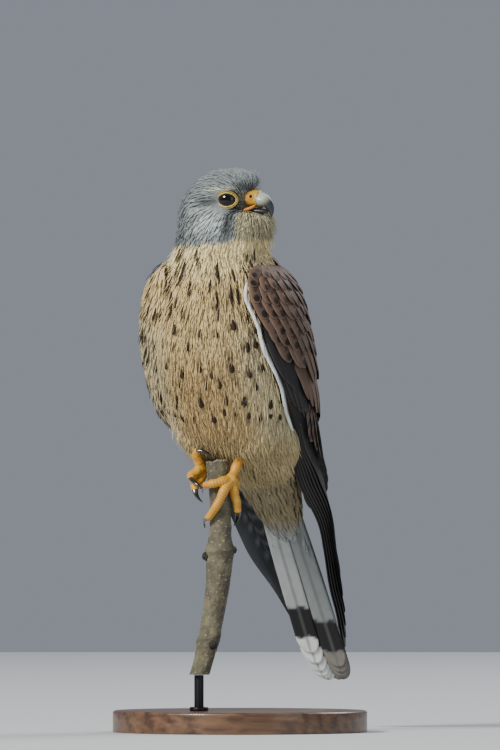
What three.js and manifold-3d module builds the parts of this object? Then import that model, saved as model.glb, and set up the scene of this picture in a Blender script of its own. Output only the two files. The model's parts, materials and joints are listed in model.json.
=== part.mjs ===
// A common kestrel at life size. It grips the cut end of an upright stick, which a plain stand holds.
// Millimetres, +Z up. The origin is under the middle of the base. The bird faces -Y and a little to -X,
// and looks over its left shoulder, to +X.
import * as THREE from 'three';
import { mergeVertices } from 'three/addons/utils/BufferGeometryUtils.js';
import Module from 'manifold-3d';

const wasm = await Module();
wasm.setup();

// Driving sizes
const GAP = 0.3; // between two nodes that meet
const MERGE = 1e-4; // points closer than this are one
const UP = new THREE.Vector3(0, 0, 1);
const RIGHT = -1; // the bird's own right side
const LEFT = 1;
const SIDES = [LEFT, RIGHT];
const SIDE_NAME = { [LEFT]: 'left', [RIGHT]: 'right' };

// The body's own frame: u runs back from the breast, v to the bird's left, z up
const BODY = { x: -10.5, y: -25, yaw: THREE.MathUtils.degToRad(25) };
// The head's own frame: f runs to the bill, s to the bird's left, h up
const HEAD = { x: -9.1, y: -31, z: 290, yaw: THREE.MathUtils.degToRad(-32) };

// Level slices of the body: height, middle of the slice (u), half width (v), half depth (u)
const BODY_SLICES = [
  [131, 52, 6, 6],
  [137, 48, 16.5, 16],
  [145, 41, 26, 24.5],
  [155, 32, 32.5, 31],
  [170, 21, 36.5, 36],
  [190, 10.5, 39, 38],
  [215, 3, 39, 37.5],
  [240, 2, 36.5, 34],
  [256, 1.5, 31.5, 29.5],
  [266, 0.5, 26.5, 26],
  [278, -3.5, 22.5, 22.5],
  [290, -7, 19, 18.5],
  [300, -8.5, 13, 13],
];
// Level slices of the head: height, middle (f), half length (f), half width (s), squareness and how much
// the slice narrows to the front
const HEAD_SLICES = [
  [258, -1, 24, 21, 2.2, 0],
  [267.5, 0.5, 25.5, 22.5, 2.3, 0],
  [276, 1.6, 26.2, 22.5, 2.5, 0],
  [283, 2, 25.6, 21.5, 2.6, 0.06],
  [290, 0.6, 23.2, 19.5, 2.5, 0.24],
  [297, 1.6, 21.8, 18.6, 2.3, 0.28],
  [303.5, 4, 17.2, 15.4, 2.1, 0.2],
  [308, 5.6, 11, 9.6, 2, 0.1],
  [309.8, 6, 4, 3.6, 2, 0],
];
// The folded wing lies on level ellipses: height, middle (u), half width (v), half depth (u),
// and the angles round the body where it starts at the breast and ends at the back
const WING_SLICES = [
  [40, 142, 13, 16.5, 92, 160],
  [50, 136.6, 14.4, 18.5, 92, 162],
  [64, 124.7, 17.6, 20.5, 91, 164],
  [80, 109.1, 20.8, 22, 90, 166],
  [100, 88.6, 26.7, 23.5, 90, 168],
  [117, 77.8, 29.5, 23, 84, 168],
  [140, 63, 31.5, 26, 64, 167],
  [155, 51, 33, 29, 65, 166],
  [175, 25, 43, 37, 61, 160],
  [190, 17, 46, 39, 58, 156],
  [208, 10.5, 47, 40, 50, 152],
  [223, 6, 46, 39.5, 47, 146],
  [242, 3, 42, 37, 42, 132],
  [252, 2, 36.5, 33.5, 52, 118],
  [257, 2, 32, 30.5, 70, 104],
];
const WING_CORE = {
  top: 256, foot: 152, slices: 10, from: 0.05, to: 0.97, across: 8, skin: -1.2, thick: 9, edge: 1.6,
};
// Rows of wing feathers: how many, height and place across the wing (0 at the breast, 1 at the back) of the
// first and last root, then of the first and last tip, lift off the wing of both roots and both tips, width,
// thickness, how late the middle line turns, and the tilt that lays each feather over the one before it
const WING_ROWS = [
  {
    name: 'primaries', count: 7, root: [196, 0.06, 182, 0.22], tip: [42, 0.16, 92, 0.7],
    lift: [-5.4, -3.4, -4.6, -0.6], width: 12.5, thick: 0.6, bend: 1.6, tilt: 4,
  },
  {
    name: 'secondaries', count: 6, root: [190, 0.36, 184, 0.88], tip: [160, 0.32, 122, 0.85],
    lift: [-2.8, -2.8, 0.6, 0.8], width: 14.5, thick: 0.6, bend: 1, tilt: 10,
  },
  {
    name: 'primary coverts', count: 2, root: [214, 0.1, 210, 0.2], tip: [181, 0.08, 175, 0.22],
    lift: [-2.8, -2.8, -0.2, 0.1], width: 9.5, thick: 0.6, bend: 1, tilt: 8,
  },
  {
    name: 'greater coverts', count: 6, root: [210, 0.34, 206, 0.88], tip: [180, 0.36, 166, 0.86],
    lift: [-2.8, -2.8, 1.7, 1.9], width: 14.5, thick: 0.6, bend: 1, tilt: 10,
  },
  {
    name: 'median coverts', count: 6, root: [229, 0.24, 225, 0.86], tip: [204, 0.24, 197, 0.86],
    lift: [-2.8, -2.8, 1.4, 1.5], width: 14, thick: 0.6, bend: 1, tilt: 10,
  },
];
const VANE_STEPS = [0, 0.35, 0.68, 0.9, 1];
const VANE_WIDTHS = [0.5, 0.94, 1, 0.74, 0.3];

// The tail: from its root it runs back and down in the body's frame
const TAIL = { u: 57, z: 152, lean: THREE.MathUtils.degToRad(36), length: 155, pairs: 6 };
const TAIL_VANE = { width: 12.8, thick: 0.5, step: 0.82, out: 6.8, spread: 0.35 };
const TAIL_MIDDLE = { out: 3.2, step: 0.84 }; // the middle pair lies over the rest, one feather on the other
const TAIL_WIDTHS = [0.6, 0.96, 1, 0.9, 0.5];
const TAIL_SHORTER = [0, 1.5, 4, 8, 14, 22]; // each pair's tips, from the middle pair outwards
// The tail's covering feathers, along the tail: distance, half width, depth above and below the vanes
const TAIL_CORE = [
  [-24, 20, 16, 20],
  [-6, 22, 15, 21],
  [8, 20.5, 12, 18],
  [24, 17.5, 8, 13],
  [42, 13.5, 4.6, 7.5],
  [56, 9, 2.4, 3.4],
];
const TAIL_CUT = 4; // along the tail, where the torso ends

const NECK_TOP = 268;
const NECK_FOOT = 257;

// The stick: height, middle (x), radius; it stands at one depth
const STICK_Y = -20;
const STICK = [
  [32, -22.5, 5.5],
  [46, -18.3, 5.7],
  [50, -17.3, 6.3],
  [54, -16.4, 6.0],
  [76, -12.9, 6.3],
  [96, -11.3, 7.4],
  [100, -11.2, 8.0],
  [104, -11, 6.8],
  [122, -10.6, 5.7],
  [140, -12.2, 5.8],
  [149, -12.9, 5.9],
];
const BUDS = [
  { z: 97, angle: -70, radius: 2.4, out: 7.6 },
  { z: 100.4, angle: 78, radius: 2.2, out: 7.4 },
  { z: 48.6, angle: 30, radius: 2.6, out: 5.2 },
];
const ROD = { radius: 2.6, x: -22.5, y: -20 };
const BASE = { radius: 70, height: 12, chamfer: 1.5 };

// Feet: each toe's middle line from the ball of the foot out, in x, y and z, then its claw's tip and the
// point that the claw bends over
const TOE_ROOT = 2.9;
const TOE_END = 1.9;
const CLAW_ROOT = 1.7;
const FEET = {
  [LEFT]: {
    ankle: [3, -15, 158], ball: [-4.6, -24.6, 139.4], shank: 2.7,
    toes: [
      {
        name: 'inner', line: [[-8.6, -27.6, 138.4], [-14.4, -29, 137], [-20.4, -25.6, 135.7]],
        bend: [-22.2, -22.8, 134.6], tip: [-20.2, -18.4, 131.4],
      },
      {
        name: 'middle', line: [[-8.2, -28.2, 134], [-12.4, -28.8, 125.5], [-18.3, -25.4, 117]],
        bend: [-20.8, -21, 115.6], tip: [-19, -16.6, 112],
      },
      {
        name: 'outer', line: [[-3.2, -24, 133], [-1.6, -22.6, 126.5], [-0.9, -20.6, 120.6]],
        bend: [-0.6, -17.8, 117.4], tip: [-3.6, -15.6, 113.4],
      },
      {
        name: 'hind', line: [[-2.4, -18.6, 137.6], [-3, -14.2, 135.6], [-6.8, -11, 134]],
        bend: [-9.6, -9.8, 133.6], tip: [-12.6, -11.4, 131],
      },
    ],
  },
  [RIGHT]: {
    ankle: [-27, -8, 158], ball: [-20.4, -13.2, 144.4], shank: 2.7,
    toes: [
      {
        name: 'inner', line: [[-22.6, -16.2, 148.4], [-24.2, -19.6, 153.2], [-22.8, -22.2, 155.4]],
        bend: [-18.4, -24.6, 155.2], tip: [-14.4, -24.8, 150.2],
      },
      {
        name: 'middle', line: [[-23.6, -17.4, 143.6], [-27, -20.2, 141.2], [-26.8, -23.4, 138.8]],
        bend: [-25, -28.6, 137.4], tip: [-19.6, -29.6, 133.4],
      },
      {
        name: 'outer', line: [[-21.8, -15.4, 139.2], [-25, -18.6, 136.4], [-24.6, -21.6, 132.6]],
        bend: [-24.4, -23.4, 129.4], tip: [-20.2, -23.6, 126.4],
      },
      {
        name: 'hind', line: [[-17.6, -9.4, 143.4], [-14, -8.6, 142.4], [-10.4, -9, 141.8]],
        bend: [-7.6, -9.6, 142.2], tip: [-5.6, -12, 141.6],
      },
    ],
  },
};
// Thighs: middle line in the body's frame (u, v outwards, z) with a radius at each point
const THIGH = [
  [22, 21, 186, 14],
  [14, 19, 170, 15.5],
  [10, 14, 158, 11],
  [9, 10.5, 150.5, 5],
];

// The face, in the head's frame
const EYE = { f: 10.2, s: 11.7, h: 2.2, radius: 6, ring: 5.4, lid: 0.95, turn: THREE.MathUtils.degToRad(68) };
const BROW = {
  f: 10.5, s: 13.6, h: 7.6, long: 9, thick: 2.6,
  dip: THREE.MathUtils.degToRad(6), splay: THREE.MathUtils.degToRad(14),
};
// Bill and cere: middle line (f, h) with half width and half height
const CERE = [
  [15.5, 2.6, 4.6, 4.6],
  [20, 3.2, 5.1, 5.1],
  [23.6, 3, 4.7, 4.7],
];
const UPPER_BILL = [
  [23.9, 3, 4.4, 4.4],
  [26.8, 2.3, 3.8, 4.1],
  [29.3, 0.6, 2.9, 3.4],
  [31, -1.9, 1.9, 2.3],
  [31.5, -4.2, 1.1, 1.3],
  [31.3, -6.4, 0.3, 0.35],
];
const LOWER_BILL = [
  [16, -3.4, 4.4, 1.5],
  [22, -3.7, 3.9, 1.6],
  [26.6, -4, 2.7, 1.4],
  [28.8, -4.1, 1.3, 0.8],
];
const NOSTRIL = { f: 20.4, s: 4.9, h: 4, radius: 0.9, deep: 2.4 };

const FINISH = {
  hood: { color: 0x8a949c, roughness: 0.85 },
  breast: { color: 0xd9bf94, roughness: 0.9 },
  wing: { color: 0x9a6142, roughness: 0.8 },
  tail: { color: 0xa9adac, roughness: 0.8 },
  skin: { color: 0xe6a41e, roughness: 0.5 },
  horn: { color: 0x22221f, roughness: 0.35 },
  bill: { color: 0x6d7880, roughness: 0.4 },
  eye: { color: 0x120c08, roughness: 0.05 },
  bark: { color: 0x7d7562, roughness: 0.9 },
  metal: { color: 0x30302e, roughness: 0.45, metalness: 0.8 },
  base: { color: 0x4a3526, roughness: 0.55 },
};

// Frames
function bodyPoint(u, v, z) {
  const { x, y, yaw } = BODY;
  return new THREE.Vector3(
    x + u * Math.sin(yaw) + v * Math.cos(yaw),
    y + u * Math.cos(yaw) - v * Math.sin(yaw),
    z,
  );
}

function headPoint(f, s, h) {
  const { x, y, z, yaw } = HEAD;
  return new THREE.Vector3(
    x + f * Math.cos(yaw) - s * Math.sin(yaw),
    y + f * Math.sin(yaw) + s * Math.cos(yaw),
    z + h,
  );
}

function tailPoint(along, across, above) {
  const { u, z, lean } = TAIL;
  const back = u + along * Math.sin(lean) + above * Math.cos(lean);
  const up = z - along * Math.cos(lean) + above * Math.sin(lean);
  return bodyPoint(back, across, up);
}

// A smooth curve through rows of numbers, the first of each row being the place along it
function through(rows) {
  const places = rows.map((row) => row[0]);
  const values = rows.flatMap((row) => row.slice(1));
  const size = rows[0].length - 1;
  const curve = new THREE.CubicInterpolant(places, values, size, new Float64Array(size));
  return (place) => Array.from(curve.evaluate(place));
}

function steps(first, last, count) {
  return Array.from({ length: count }, (_, i) => first + ((last - first) * i) / (count - 1));
}

function mix(a, b, t) {
  return a + (b - a) * t;
}

// Solids
function facingOut(points, index) {
  let volume = 0;
  for (let i = 0; i < index.length; i += 3) {
    const [a, b, c] = [points[index[i]], points[index[i + 1]], points[index[i + 2]]];
    volume += a.dot(new THREE.Vector3().crossVectors(b, c));
  }
  return volume > 0 ? index : index.toReversed();
}

function closedGeometry(points, index) {
  const geometry = new THREE.BufferGeometry().setFromPoints(points);
  geometry.setIndex(facingOut(points, index));
  return geometry;
}

function solidOf(geometry) {
  const bare = geometry.clone();
  bare.deleteAttribute('normal');
  bare.deleteAttribute('uv');
  const merged = mergeVertices(bare, MERGE);
  return new wasm.Manifold(new wasm.Mesh({
    numProp: 3,
    vertProperties: new Float32Array(merged.attributes.position.array),
    triVerts: new Uint32Array(merged.index.array),
  }));
}

// A closed skin over rings of equally many points
function loft(rings) {
  const count = rings[0].length;
  const points = rings.flat();
  const index = [];
  for (let ring = 0; ring < rings.length - 1; ring += 1) {
    for (let side = 0; side < count; side += 1) {
      const a = ring * count + side;
      const b = ring * count + ((side + 1) % count);
      index.push(a, b, a + count, b, b + count, a + count);
    }
  }
  for (const [ring, order] of [[0, -1], [rings.length - 1, 1]]) {
    const middle = points.length;
    const sum = rings[ring].reduce((total, point) => total.add(point), new THREE.Vector3());
    points.push(sum.divideScalar(count));
    for (let side = 0; side < count; side += 1) {
      const a = ring * count + side;
      const b = ring * count + ((side + 1) % count);
      index.push(...(order > 0 ? [a, b, middle] : [b, a, middle]));
    }
  }
  return solidOf(closedGeometry(points, index));
}

// A thin plate over stations of four corners, its faces split into triangles alike above and below
function plate(stations) {
  const points = stations.flat();
  const index = [];
  for (let i = 0; i < stations.length - 1; i += 1) {
    const [a, b, c, d] = [0, 1, 2, 3].map((corner) => i * 4 + corner);
    const [e, f, g, h] = [a + 4, b + 4, c + 4, d + 4];
    index.push(a, b, f, a, f, e); // upper face
    index.push(d, g, c, d, h, g); // lower face
    index.push(b, c, g, b, g, f);
    index.push(d, a, e, d, e, h);
  }
  const end = (stations.length - 1) * 4;
  index.push(0, 3, 2, 0, 2, 1);
  index.push(end, end + 1, end + 2, end, end + 2, end + 3);
  return solidOf(closedGeometry(points, index));
}

// A tube along a curve, its radius from a function of the place along it
function tube(curve, radius, sides, count, flat = 1) {
  const frames = curve.computeFrenetFrames(count - 1, false);
  const rings = steps(0, 1, count).map((t, i) => {
    const middle = curve.getPointAt(t);
    return steps(0, 2 * Math.PI, sides + 1).slice(0, -1).map((turn) => middle.clone()
      .addScaledVector(frames.normals[i], Math.cos(turn) * radius(t))
      .addScaledVector(frames.binormals[i], Math.sin(turn) * radius(t) * flat));
  });
  return loft(rings);
}

function join(solids) {
  return solids.reduce((whole, solid) => whole.add(solid));
}

function cutAway(solid, others) {
  return others.reduce((left, other) => left.subtract(other), solid);
}

function largest(solid) {
  const pieces = solid.decompose();
  return pieces.reduce((best, piece) => (piece.volume() > best.volume() ? piece : best));
}

// A box that holds everything on one side of a plane
function halfSpace(point, normal, reach = 400) {
  const box = new THREE.BoxGeometry(reach, reach, reach);
  box.translate(0, 0, reach / 2);
  const turn = new THREE.Quaternion().setFromUnitVectors(UP, normal.clone().normalize());
  box.applyQuaternion(turn);
  box.translate(point.x, point.y, point.z);
  return solidOf(box);
}

// Torso, neck and head are one body, which thin cuts part
function bodySolid(grow = 0) {
  const slice = through(BODY_SLICES);
  const heights = steps(BODY_SLICES[0][0], BODY_SLICES.at(-1)[0], 22);
  return loft(heights.map((z) => {
    const [u, half, deep] = slice(z);
    return steps(0, 2 * Math.PI, 29).slice(0, -1).map((turn) => bodyPoint(
      u + (deep + grow) * Math.cos(turn),
      (half + grow) * Math.sin(turn),
      z,
    ));
  }));
}

function headSolid() {
  const slice = through(HEAD_SLICES);
  const heights = [258, 264, 270, 276, 281, 286, 290.5, 295, 299, 302.6, 305.6, 308, 309.6];
  const rounded = (value, power) => Math.sign(value) * Math.abs(value) ** (2 / power);
  return loft(heights.map((z) => {
    const [middle, long, half, power, narrow] = slice(z);
    return steps(0, 2 * Math.PI, 29).slice(0, -1).map((turn) => {
      const front = Math.max(0, Math.cos(turn));
      return headPoint(
        middle + long * rounded(Math.cos(turn), power),
        half * rounded(Math.sin(turn), power) * (1 - narrow * front ** 1.5),
        z - HEAD.z,
      );
    });
  }));
}

function tailCore() {
  const slice = through(TAIL_CORE);
  return loft(steps(TAIL_CORE[0][0], TAIL_CORE.at(-1)[0], 12).map((along) => {
    const [half, above, below] = slice(along);
    return steps(0, 2 * Math.PI, 25).slice(0, -1).map((turn) => {
      const rise = Math.sin(turn) > 0 ? above : below;
      return tailPoint(along, half * Math.cos(turn), rise * Math.sin(turn) - 2);
    });
  }));
}

// The face
function eyeAxis(side) {
  const { f, s, h, turn } = EYE;
  const middle = headPoint(f, side * s, h);
  const out = headPoint(f + Math.cos(turn), side * (s + Math.sin(turn)), h + 0.05);
  return { middle, out: out.sub(middle).normalize() };
}

function eyeBall(side, grow = 0) {
  const ball = new THREE.SphereGeometry(EYE.radius + grow, 16, 10);
  const { middle } = eyeAxis(side);
  ball.translate(middle.x, middle.y, middle.z);
  return solidOf(ball);
}

// The lids' ring stands round the eye a little proud of the feathers
function eyeLids(side) {
  const { middle, out } = eyeAxis(side);
  const far = Math.sqrt((EYE.radius + EYE.lid) ** 2 - EYE.ring ** 2);
  const ring = new THREE.TorusGeometry(EYE.ring, EYE.lid, 6, 16);
  ring.applyQuaternion(new THREE.Quaternion().setFromUnitVectors(UP, out));
  const centre = middle.clone().addScaledVector(out, far - EYE.lid * 0.8);
  ring.translate(centre.x, centre.y, centre.z);
  return solidOf(ring);
}

function brow(side) {
  const ridge = new THREE.SphereGeometry(1, 16, 10);
  ridge.scale(BROW.long, BROW.thick, BROW.thick);
  ridge.rotateY(BROW.dip);
  ridge.rotateZ(HEAD.yaw - side * BROW.splay);
  const centre = headPoint(BROW.f, side * BROW.s, BROW.h);
  ridge.translate(centre.x, centre.y, centre.z);
  return solidOf(ridge);
}

// A horn or cere loft along the head's middle plane, its rings square to the line
function faceLoft(rows, sides, count, grow = 0) {
  const line = new THREE.CatmullRomCurve3(rows.map(([f, h]) => new THREE.Vector3(f, 0, h)));
  const sizes = through(rows.map(([, , half, high], i) => [i / (rows.length - 1), half, high]));
  return loft(steps(0, 1, count).map((t) => {
    const middle = line.getPoint(t);
    const ahead = line.getTangent(t);
    const [half, high] = sizes(t);
    return steps(0, 2 * Math.PI, sides + 1).slice(0, -1).map((turn) => {
      const rise = (high + grow) * Math.sin(turn);
      return headPoint(
        middle.x - ahead.z * rise,
        (half + grow) * Math.cos(turn),
        middle.z + ahead.x * rise,
      );
    });
  }));
}

function nostrils() {
  const { f, s, h, radius, deep } = NOSTRIL;
  return SIDES.map((side) => {
    const hole = new THREE.CylinderGeometry(radius, radius * 0.8, deep * 2, 10);
    const centre = headPoint(f, side * s, h);
    const out = headPoint(f, side * (s + 1), h).sub(centre);
    hole.applyQuaternion(new THREE.Quaternion().setFromUnitVectors(new THREE.Vector3(0, 1, 0), out));
    hole.translate(centre.x, centre.y, centre.z);
    return solidOf(hole);
  });
}

// Wings
const wingSlice = through(WING_SLICES);

function wingPoint(side, z, across, lift) {
  const [u, half, deep, first, last] = wingSlice(z);
  const turn = THREE.MathUtils.degToRad(mix(first, last, across));
  return bodyPoint(u - (deep + lift) * Math.cos(turn), side * (half + lift) * Math.sin(turn), z);
}

function wingCore(side) {
  const { top, foot, slices, from, to, across, skin, thick, edge } = WING_CORE;
  return loft(steps(foot, top, slices).map((z) => {
    const shoulder = Math.min(1, (top - z) / 16 + 0.15);
    const hem = Math.min(1, (z - foot) / 30 + 0.3);
    const depth = (q) => edge + (thick - edge) * Math.sin(Math.PI * q) ** 0.6 * shoulder * hem;
    const outer = steps(from, to, across).map((q) => wingPoint(side, z, q, skin));
    const inner = steps(to, from, across).map((q) => wingPoint(side, z, q, skin - depth(q)));
    return [...outer, ...inner];
  }));
}

// One feather on the wing: its middle line runs over the wing's surface from root to tip
function wingVane(side, root, tip, row) {
  const nudge = 0.01; // across the wing, to find which way round it lies
  const middleAt = (t) => {
    const z = mix(root.z, tip.z, t);
    const across = mix(root.across, tip.across, t ** row.bend);
    const lift = mix(root.lift, tip.lift, Math.sqrt(t));
    return { z, across, lift };
  };
  return plate(VANE_STEPS.map((t, i) => {
    const { z, across, lift } = middleAt(t);
    const middle = wingPoint(side, z, across, lift);
    const before = middleAt(Math.max(0, t - 0.04));
    const after = middleAt(Math.min(1, t + 0.04));
    const along = wingPoint(side, after.z, after.across, after.lift)
      .sub(wingPoint(side, before.z, before.across, before.lift)).normalize();
    const round = wingPoint(side, z, across + nudge, lift).sub(middle);
    const outward = new THREE.Vector3().crossVectors(along, round).multiplyScalar(-side).normalize();
    const tilt = THREE.MathUtils.degToRad(row.tilt) * Math.min(1, t * 2);
    const widthways = new THREE.Vector3().crossVectors(outward, along).multiplyScalar(-side)
      .applyAxisAngle(along, -side * tilt).normalize();
    const upright = outward.clone().applyAxisAngle(along, -side * tilt);
    const half = (row.width * VANE_WIDTHS[i]) / 2;
    const thin = row.thick / 2;
    const corner = (sideways, up) => middle.clone()
      .addScaledVector(widthways, sideways * half).addScaledVector(upright, up * thin);
    return [corner(-1, 1), corner(1, 1), corner(1, -1), corner(-1, -1)];
  }));
}

function wingRow(side, row) {
  return steps(0, 1, row.count).map((k) => {
    const root = {
      z: mix(row.root[0], row.root[2], k),
      across: mix(row.root[1], row.root[3], k),
      lift: mix(row.lift[0], row.lift[1], k),
    };
    const tip = {
      z: mix(row.tip[0], row.tip[2], k ** 1.4),
      across: mix(row.tip[1], row.tip[3], k),
      lift: mix(row.lift[2], row.lift[3], k),
    };
    return wingVane(side, root, tip, row);
  });
}

function wing(side, clear) {
  const vanes = WING_ROWS.flatMap((row) => wingRow(side, row));
  return cutAway(join([wingCore(side), ...vanes]), clear);
}

// Tail
function tailVane(side, pair) {
  const { width, thick, step, out, spread } = TAIL_VANE;
  const length = TAIL.length - TAIL_SHORTER[pair];
  const above = pair || side === RIGHT ? -step * pair : TAIL_MIDDLE.step;
  return plate(VANE_STEPS.map((t, i) => {
    const along = mix(-6, length, t);
    const sideways = side * (pair ? out + pair * spread * t : TAIL_MIDDLE.out);
    const half = (width * TAIL_WIDTHS[i]) / 2;
    const corner = (across, up) => tailPoint(along, sideways + across * half, above + up * (thick / 2));
    return [corner(-1, 1), corner(1, 1), corner(1, -1), corner(-1, -1)];
  }));
}

function tailVanes() {
  return SIDES.flatMap((side) => steps(0, TAIL.pairs - 1, TAIL.pairs).map((pair) => tailVane(side, pair)));
}

// Feet
const vector = (point) => new THREE.Vector3(...point);

function toeTube(ball, line, grow = 0) {
  const end = vector(line.at(-1));
  const beyond = end.clone().add(end.clone().sub(vector(line.at(-2))).setLength(grow || MERGE));
  const curve = new THREE.CatmullRomCurve3([...[ball, ...line.slice(0, -1)].map(vector), beyond]);
  const knuckle = (t) => 1 + 0.08 * Math.cos(t * Math.PI * 6);
  return tube(curve, (t) => mix(TOE_ROOT, TOE_END, t) * knuckle(t) + grow, 8, 7);
}

function foot(side) {
  const { ankle, ball, shank, toes } = FEET[side];
  const middle = vector(ankle).lerp(vector(ball), 0.5);
  const leg = new THREE.CatmullRomCurve3([vector(ankle), middle, vector(ball)]);
  const pad = new THREE.SphereGeometry(TOE_ROOT + 0.5, 12, 8);
  pad.translate(...ball);
  return join([tube(leg, () => shank, 10, 6), solidOf(pad), ...toes.map(({ line }) => toeTube(ball, line))]);
}

function claw(ball, { line, bend, tip }) {
  const curve = new THREE.QuadraticBezierCurve3(vector(line.at(-1)), vector(bend), vector(tip));
  const horn = tube(curve, (t) => CLAW_ROOT * (1 - t) ** 0.75 + 0.15, 8, 6);
  return horn.subtract(toeTube(ball, line, GAP));
}

function thigh(side, grow = 0) {
  const curve = new THREE.CatmullRomCurve3(THIGH.map(([u, v, z]) => bodyPoint(u, side * v, z)));
  const radius = through(THIGH.map((row, i) => [i / (THIGH.length - 1), row[3]]));
  return tube(curve, (t) => radius(t)[0] + grow, 18, 9);
}

// Perch and stand
function stick(grow = 0) {
  const slice = through(STICK);
  const heights = STICK.map(([z]) => z);
  const turns = steps(0, 2 * Math.PI, 15).slice(0, -1);
  const rough = (turn, z) => 1 + 0.03 * Math.sin(3 * turn + z * 0.11) + 0.02 * Math.cos(5 * turn - z * 0.07);
  const shaft = loft(heights.map((z) => {
    const [x, radius] = slice(z);
    return turns.map((turn) => new THREE.Vector3(
      x + (radius * rough(turn, z) + grow) * Math.sin(turn),
      STICK_Y - (radius * rough(turn, z) + grow) * Math.cos(turn),
      z,
    ));
  }));
  const buds = BUDS.map(({ z, angle, radius, out }) => {
    const bud = new THREE.SphereGeometry(radius, 10, 8);
    const turn = THREE.MathUtils.degToRad(angle);
    bud.translate(slice(z)[0] + out * Math.sin(turn), STICK_Y - out * Math.cos(turn), z);
    return solidOf(bud);
  });
  return join([shaft, ...buds]);
}

function standRod() {
  const height = STICK[0][0] - BASE.height - 2 * GAP;
  const rod = new THREE.CylinderGeometry(ROD.radius, ROD.radius, height, 20);
  rod.rotateX(Math.PI / 2);
  rod.translate(ROD.x, ROD.y, BASE.height + GAP + height / 2);
  return solidOf(rod);
}

function standBase() {
  const { radius, height, chamfer } = BASE;
  const profile = [[0, 0], [radius, 0], [radius, height - chamfer], [radius - chamfer, height], [0, height]];
  const disc = new THREE.LatheGeometry(profile.map(([x, y]) => new THREE.Vector2(x, y)), 48);
  disc.rotateX(Math.PI / 2);
  return solidOf(disc);
}

// Nodes
const kestrel = new THREE.Group();

function addNode(name, solid, finish) {
  const { vertProperties, triVerts } = largest(solid).getMesh();
  const geometry = new THREE.BufferGeometry();
  geometry.setAttribute('position', new THREE.BufferAttribute(new Float32Array(vertProperties), 3));
  geometry.setIndex(new THREE.BufferAttribute(new Uint32Array(triVerts), 1));
  const mesh = new THREE.Mesh(geometry, new THREE.MeshStandardMaterial(FINISH[finish]));
  mesh.name = name;
  kestrel.add(mesh);
}

const eyes = SIDES.map((side) => eyeBall(side));
const upperBill = faceLoft(UPPER_BILL, 14, 9);
const lowerBill = faceLoft(LOWER_BILL, 12, 5);
const cere = faceLoft(CERE, 14, 5);
const cereRoom = faceLoft(CERE, 14, 5, GAP);
const upperRoom = faceLoft(UPPER_BILL, 14, 9, GAP);
const faceRoom = [
  ...SIDES.map((side) => eyeBall(side, GAP)),
  upperRoom,
  faceLoft(LOWER_BILL, 12, 5, GAP),
  cereRoom,
];

const tailward = tailPoint(1, 0, 0).sub(tailPoint(0, 0, 0));
const headAndBody = join([bodySolid(), headSolid(), tailCore(), ...SIDES.map(brow), ...SIDES.map(eyeLids)]);
const above = (z) => halfSpace(new THREE.Vector3(0, 0, z), UP);
const behindCut = (shift) => halfSpace(tailPoint(TAIL_CUT + shift, 0, 0), tailward);

addNode('head', cutAway(headAndBody.intersect(above(NECK_TOP)), faceRoom), 'hood');
addNode('neck', headAndBody.intersect(above(NECK_FOOT)).subtract(above(NECK_TOP - GAP)), 'breast');
addNode('torso', headAndBody.subtract(above(NECK_FOOT - GAP)).subtract(behindCut(-GAP)), 'breast');
addNode('tail', join([headAndBody.subtract(above(NECK_FOOT)).intersect(behindCut(0)), ...tailVanes()])
  .intersect(behindCut(0)), 'tail');

SIDES.forEach((side, i) => addNode(`eye_${SIDE_NAME[side]}`, eyes[i], 'eye'));
addNode('cere', cutAway(cere, nostrils()), 'skin');
addNode('bill_upper', cutAway(upperBill, [cereRoom]), 'bill');
addNode('bill_lower', cutAway(lowerBill, [cereRoom, upperRoom]), 'bill');

const bodyRoom = join([bodySolid(GAP), tailCore()]);
for (const side of SIDES) {
  const name = SIDE_NAME[side];
  addNode(`wing_${name}`, wing(side, [bodyRoom]), 'wing');
  addNode(`thigh_${name}`, cutAway(thigh(side), [bodyRoom]), 'breast');
  addNode(`foot_${name}`, cutAway(foot(side), [bodyRoom, thigh(side, GAP), stick(GAP)]), 'skin');
  for (const toe of FEET[side].toes) {
    addNode(`claw_${toe.name}_${name}`, claw(FEET[side].ball, toe), 'horn');
  }
}
addNode('perch_stick', stick(), 'bark');
addNode('stand_rod', standRod(), 'metal');
addNode('stand_base', standBase(), 'base');

export default kestrel;
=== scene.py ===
import json
import math

import bpy
import numpy as np
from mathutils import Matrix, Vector
from mathutils.kdtree import KDTree

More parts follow.
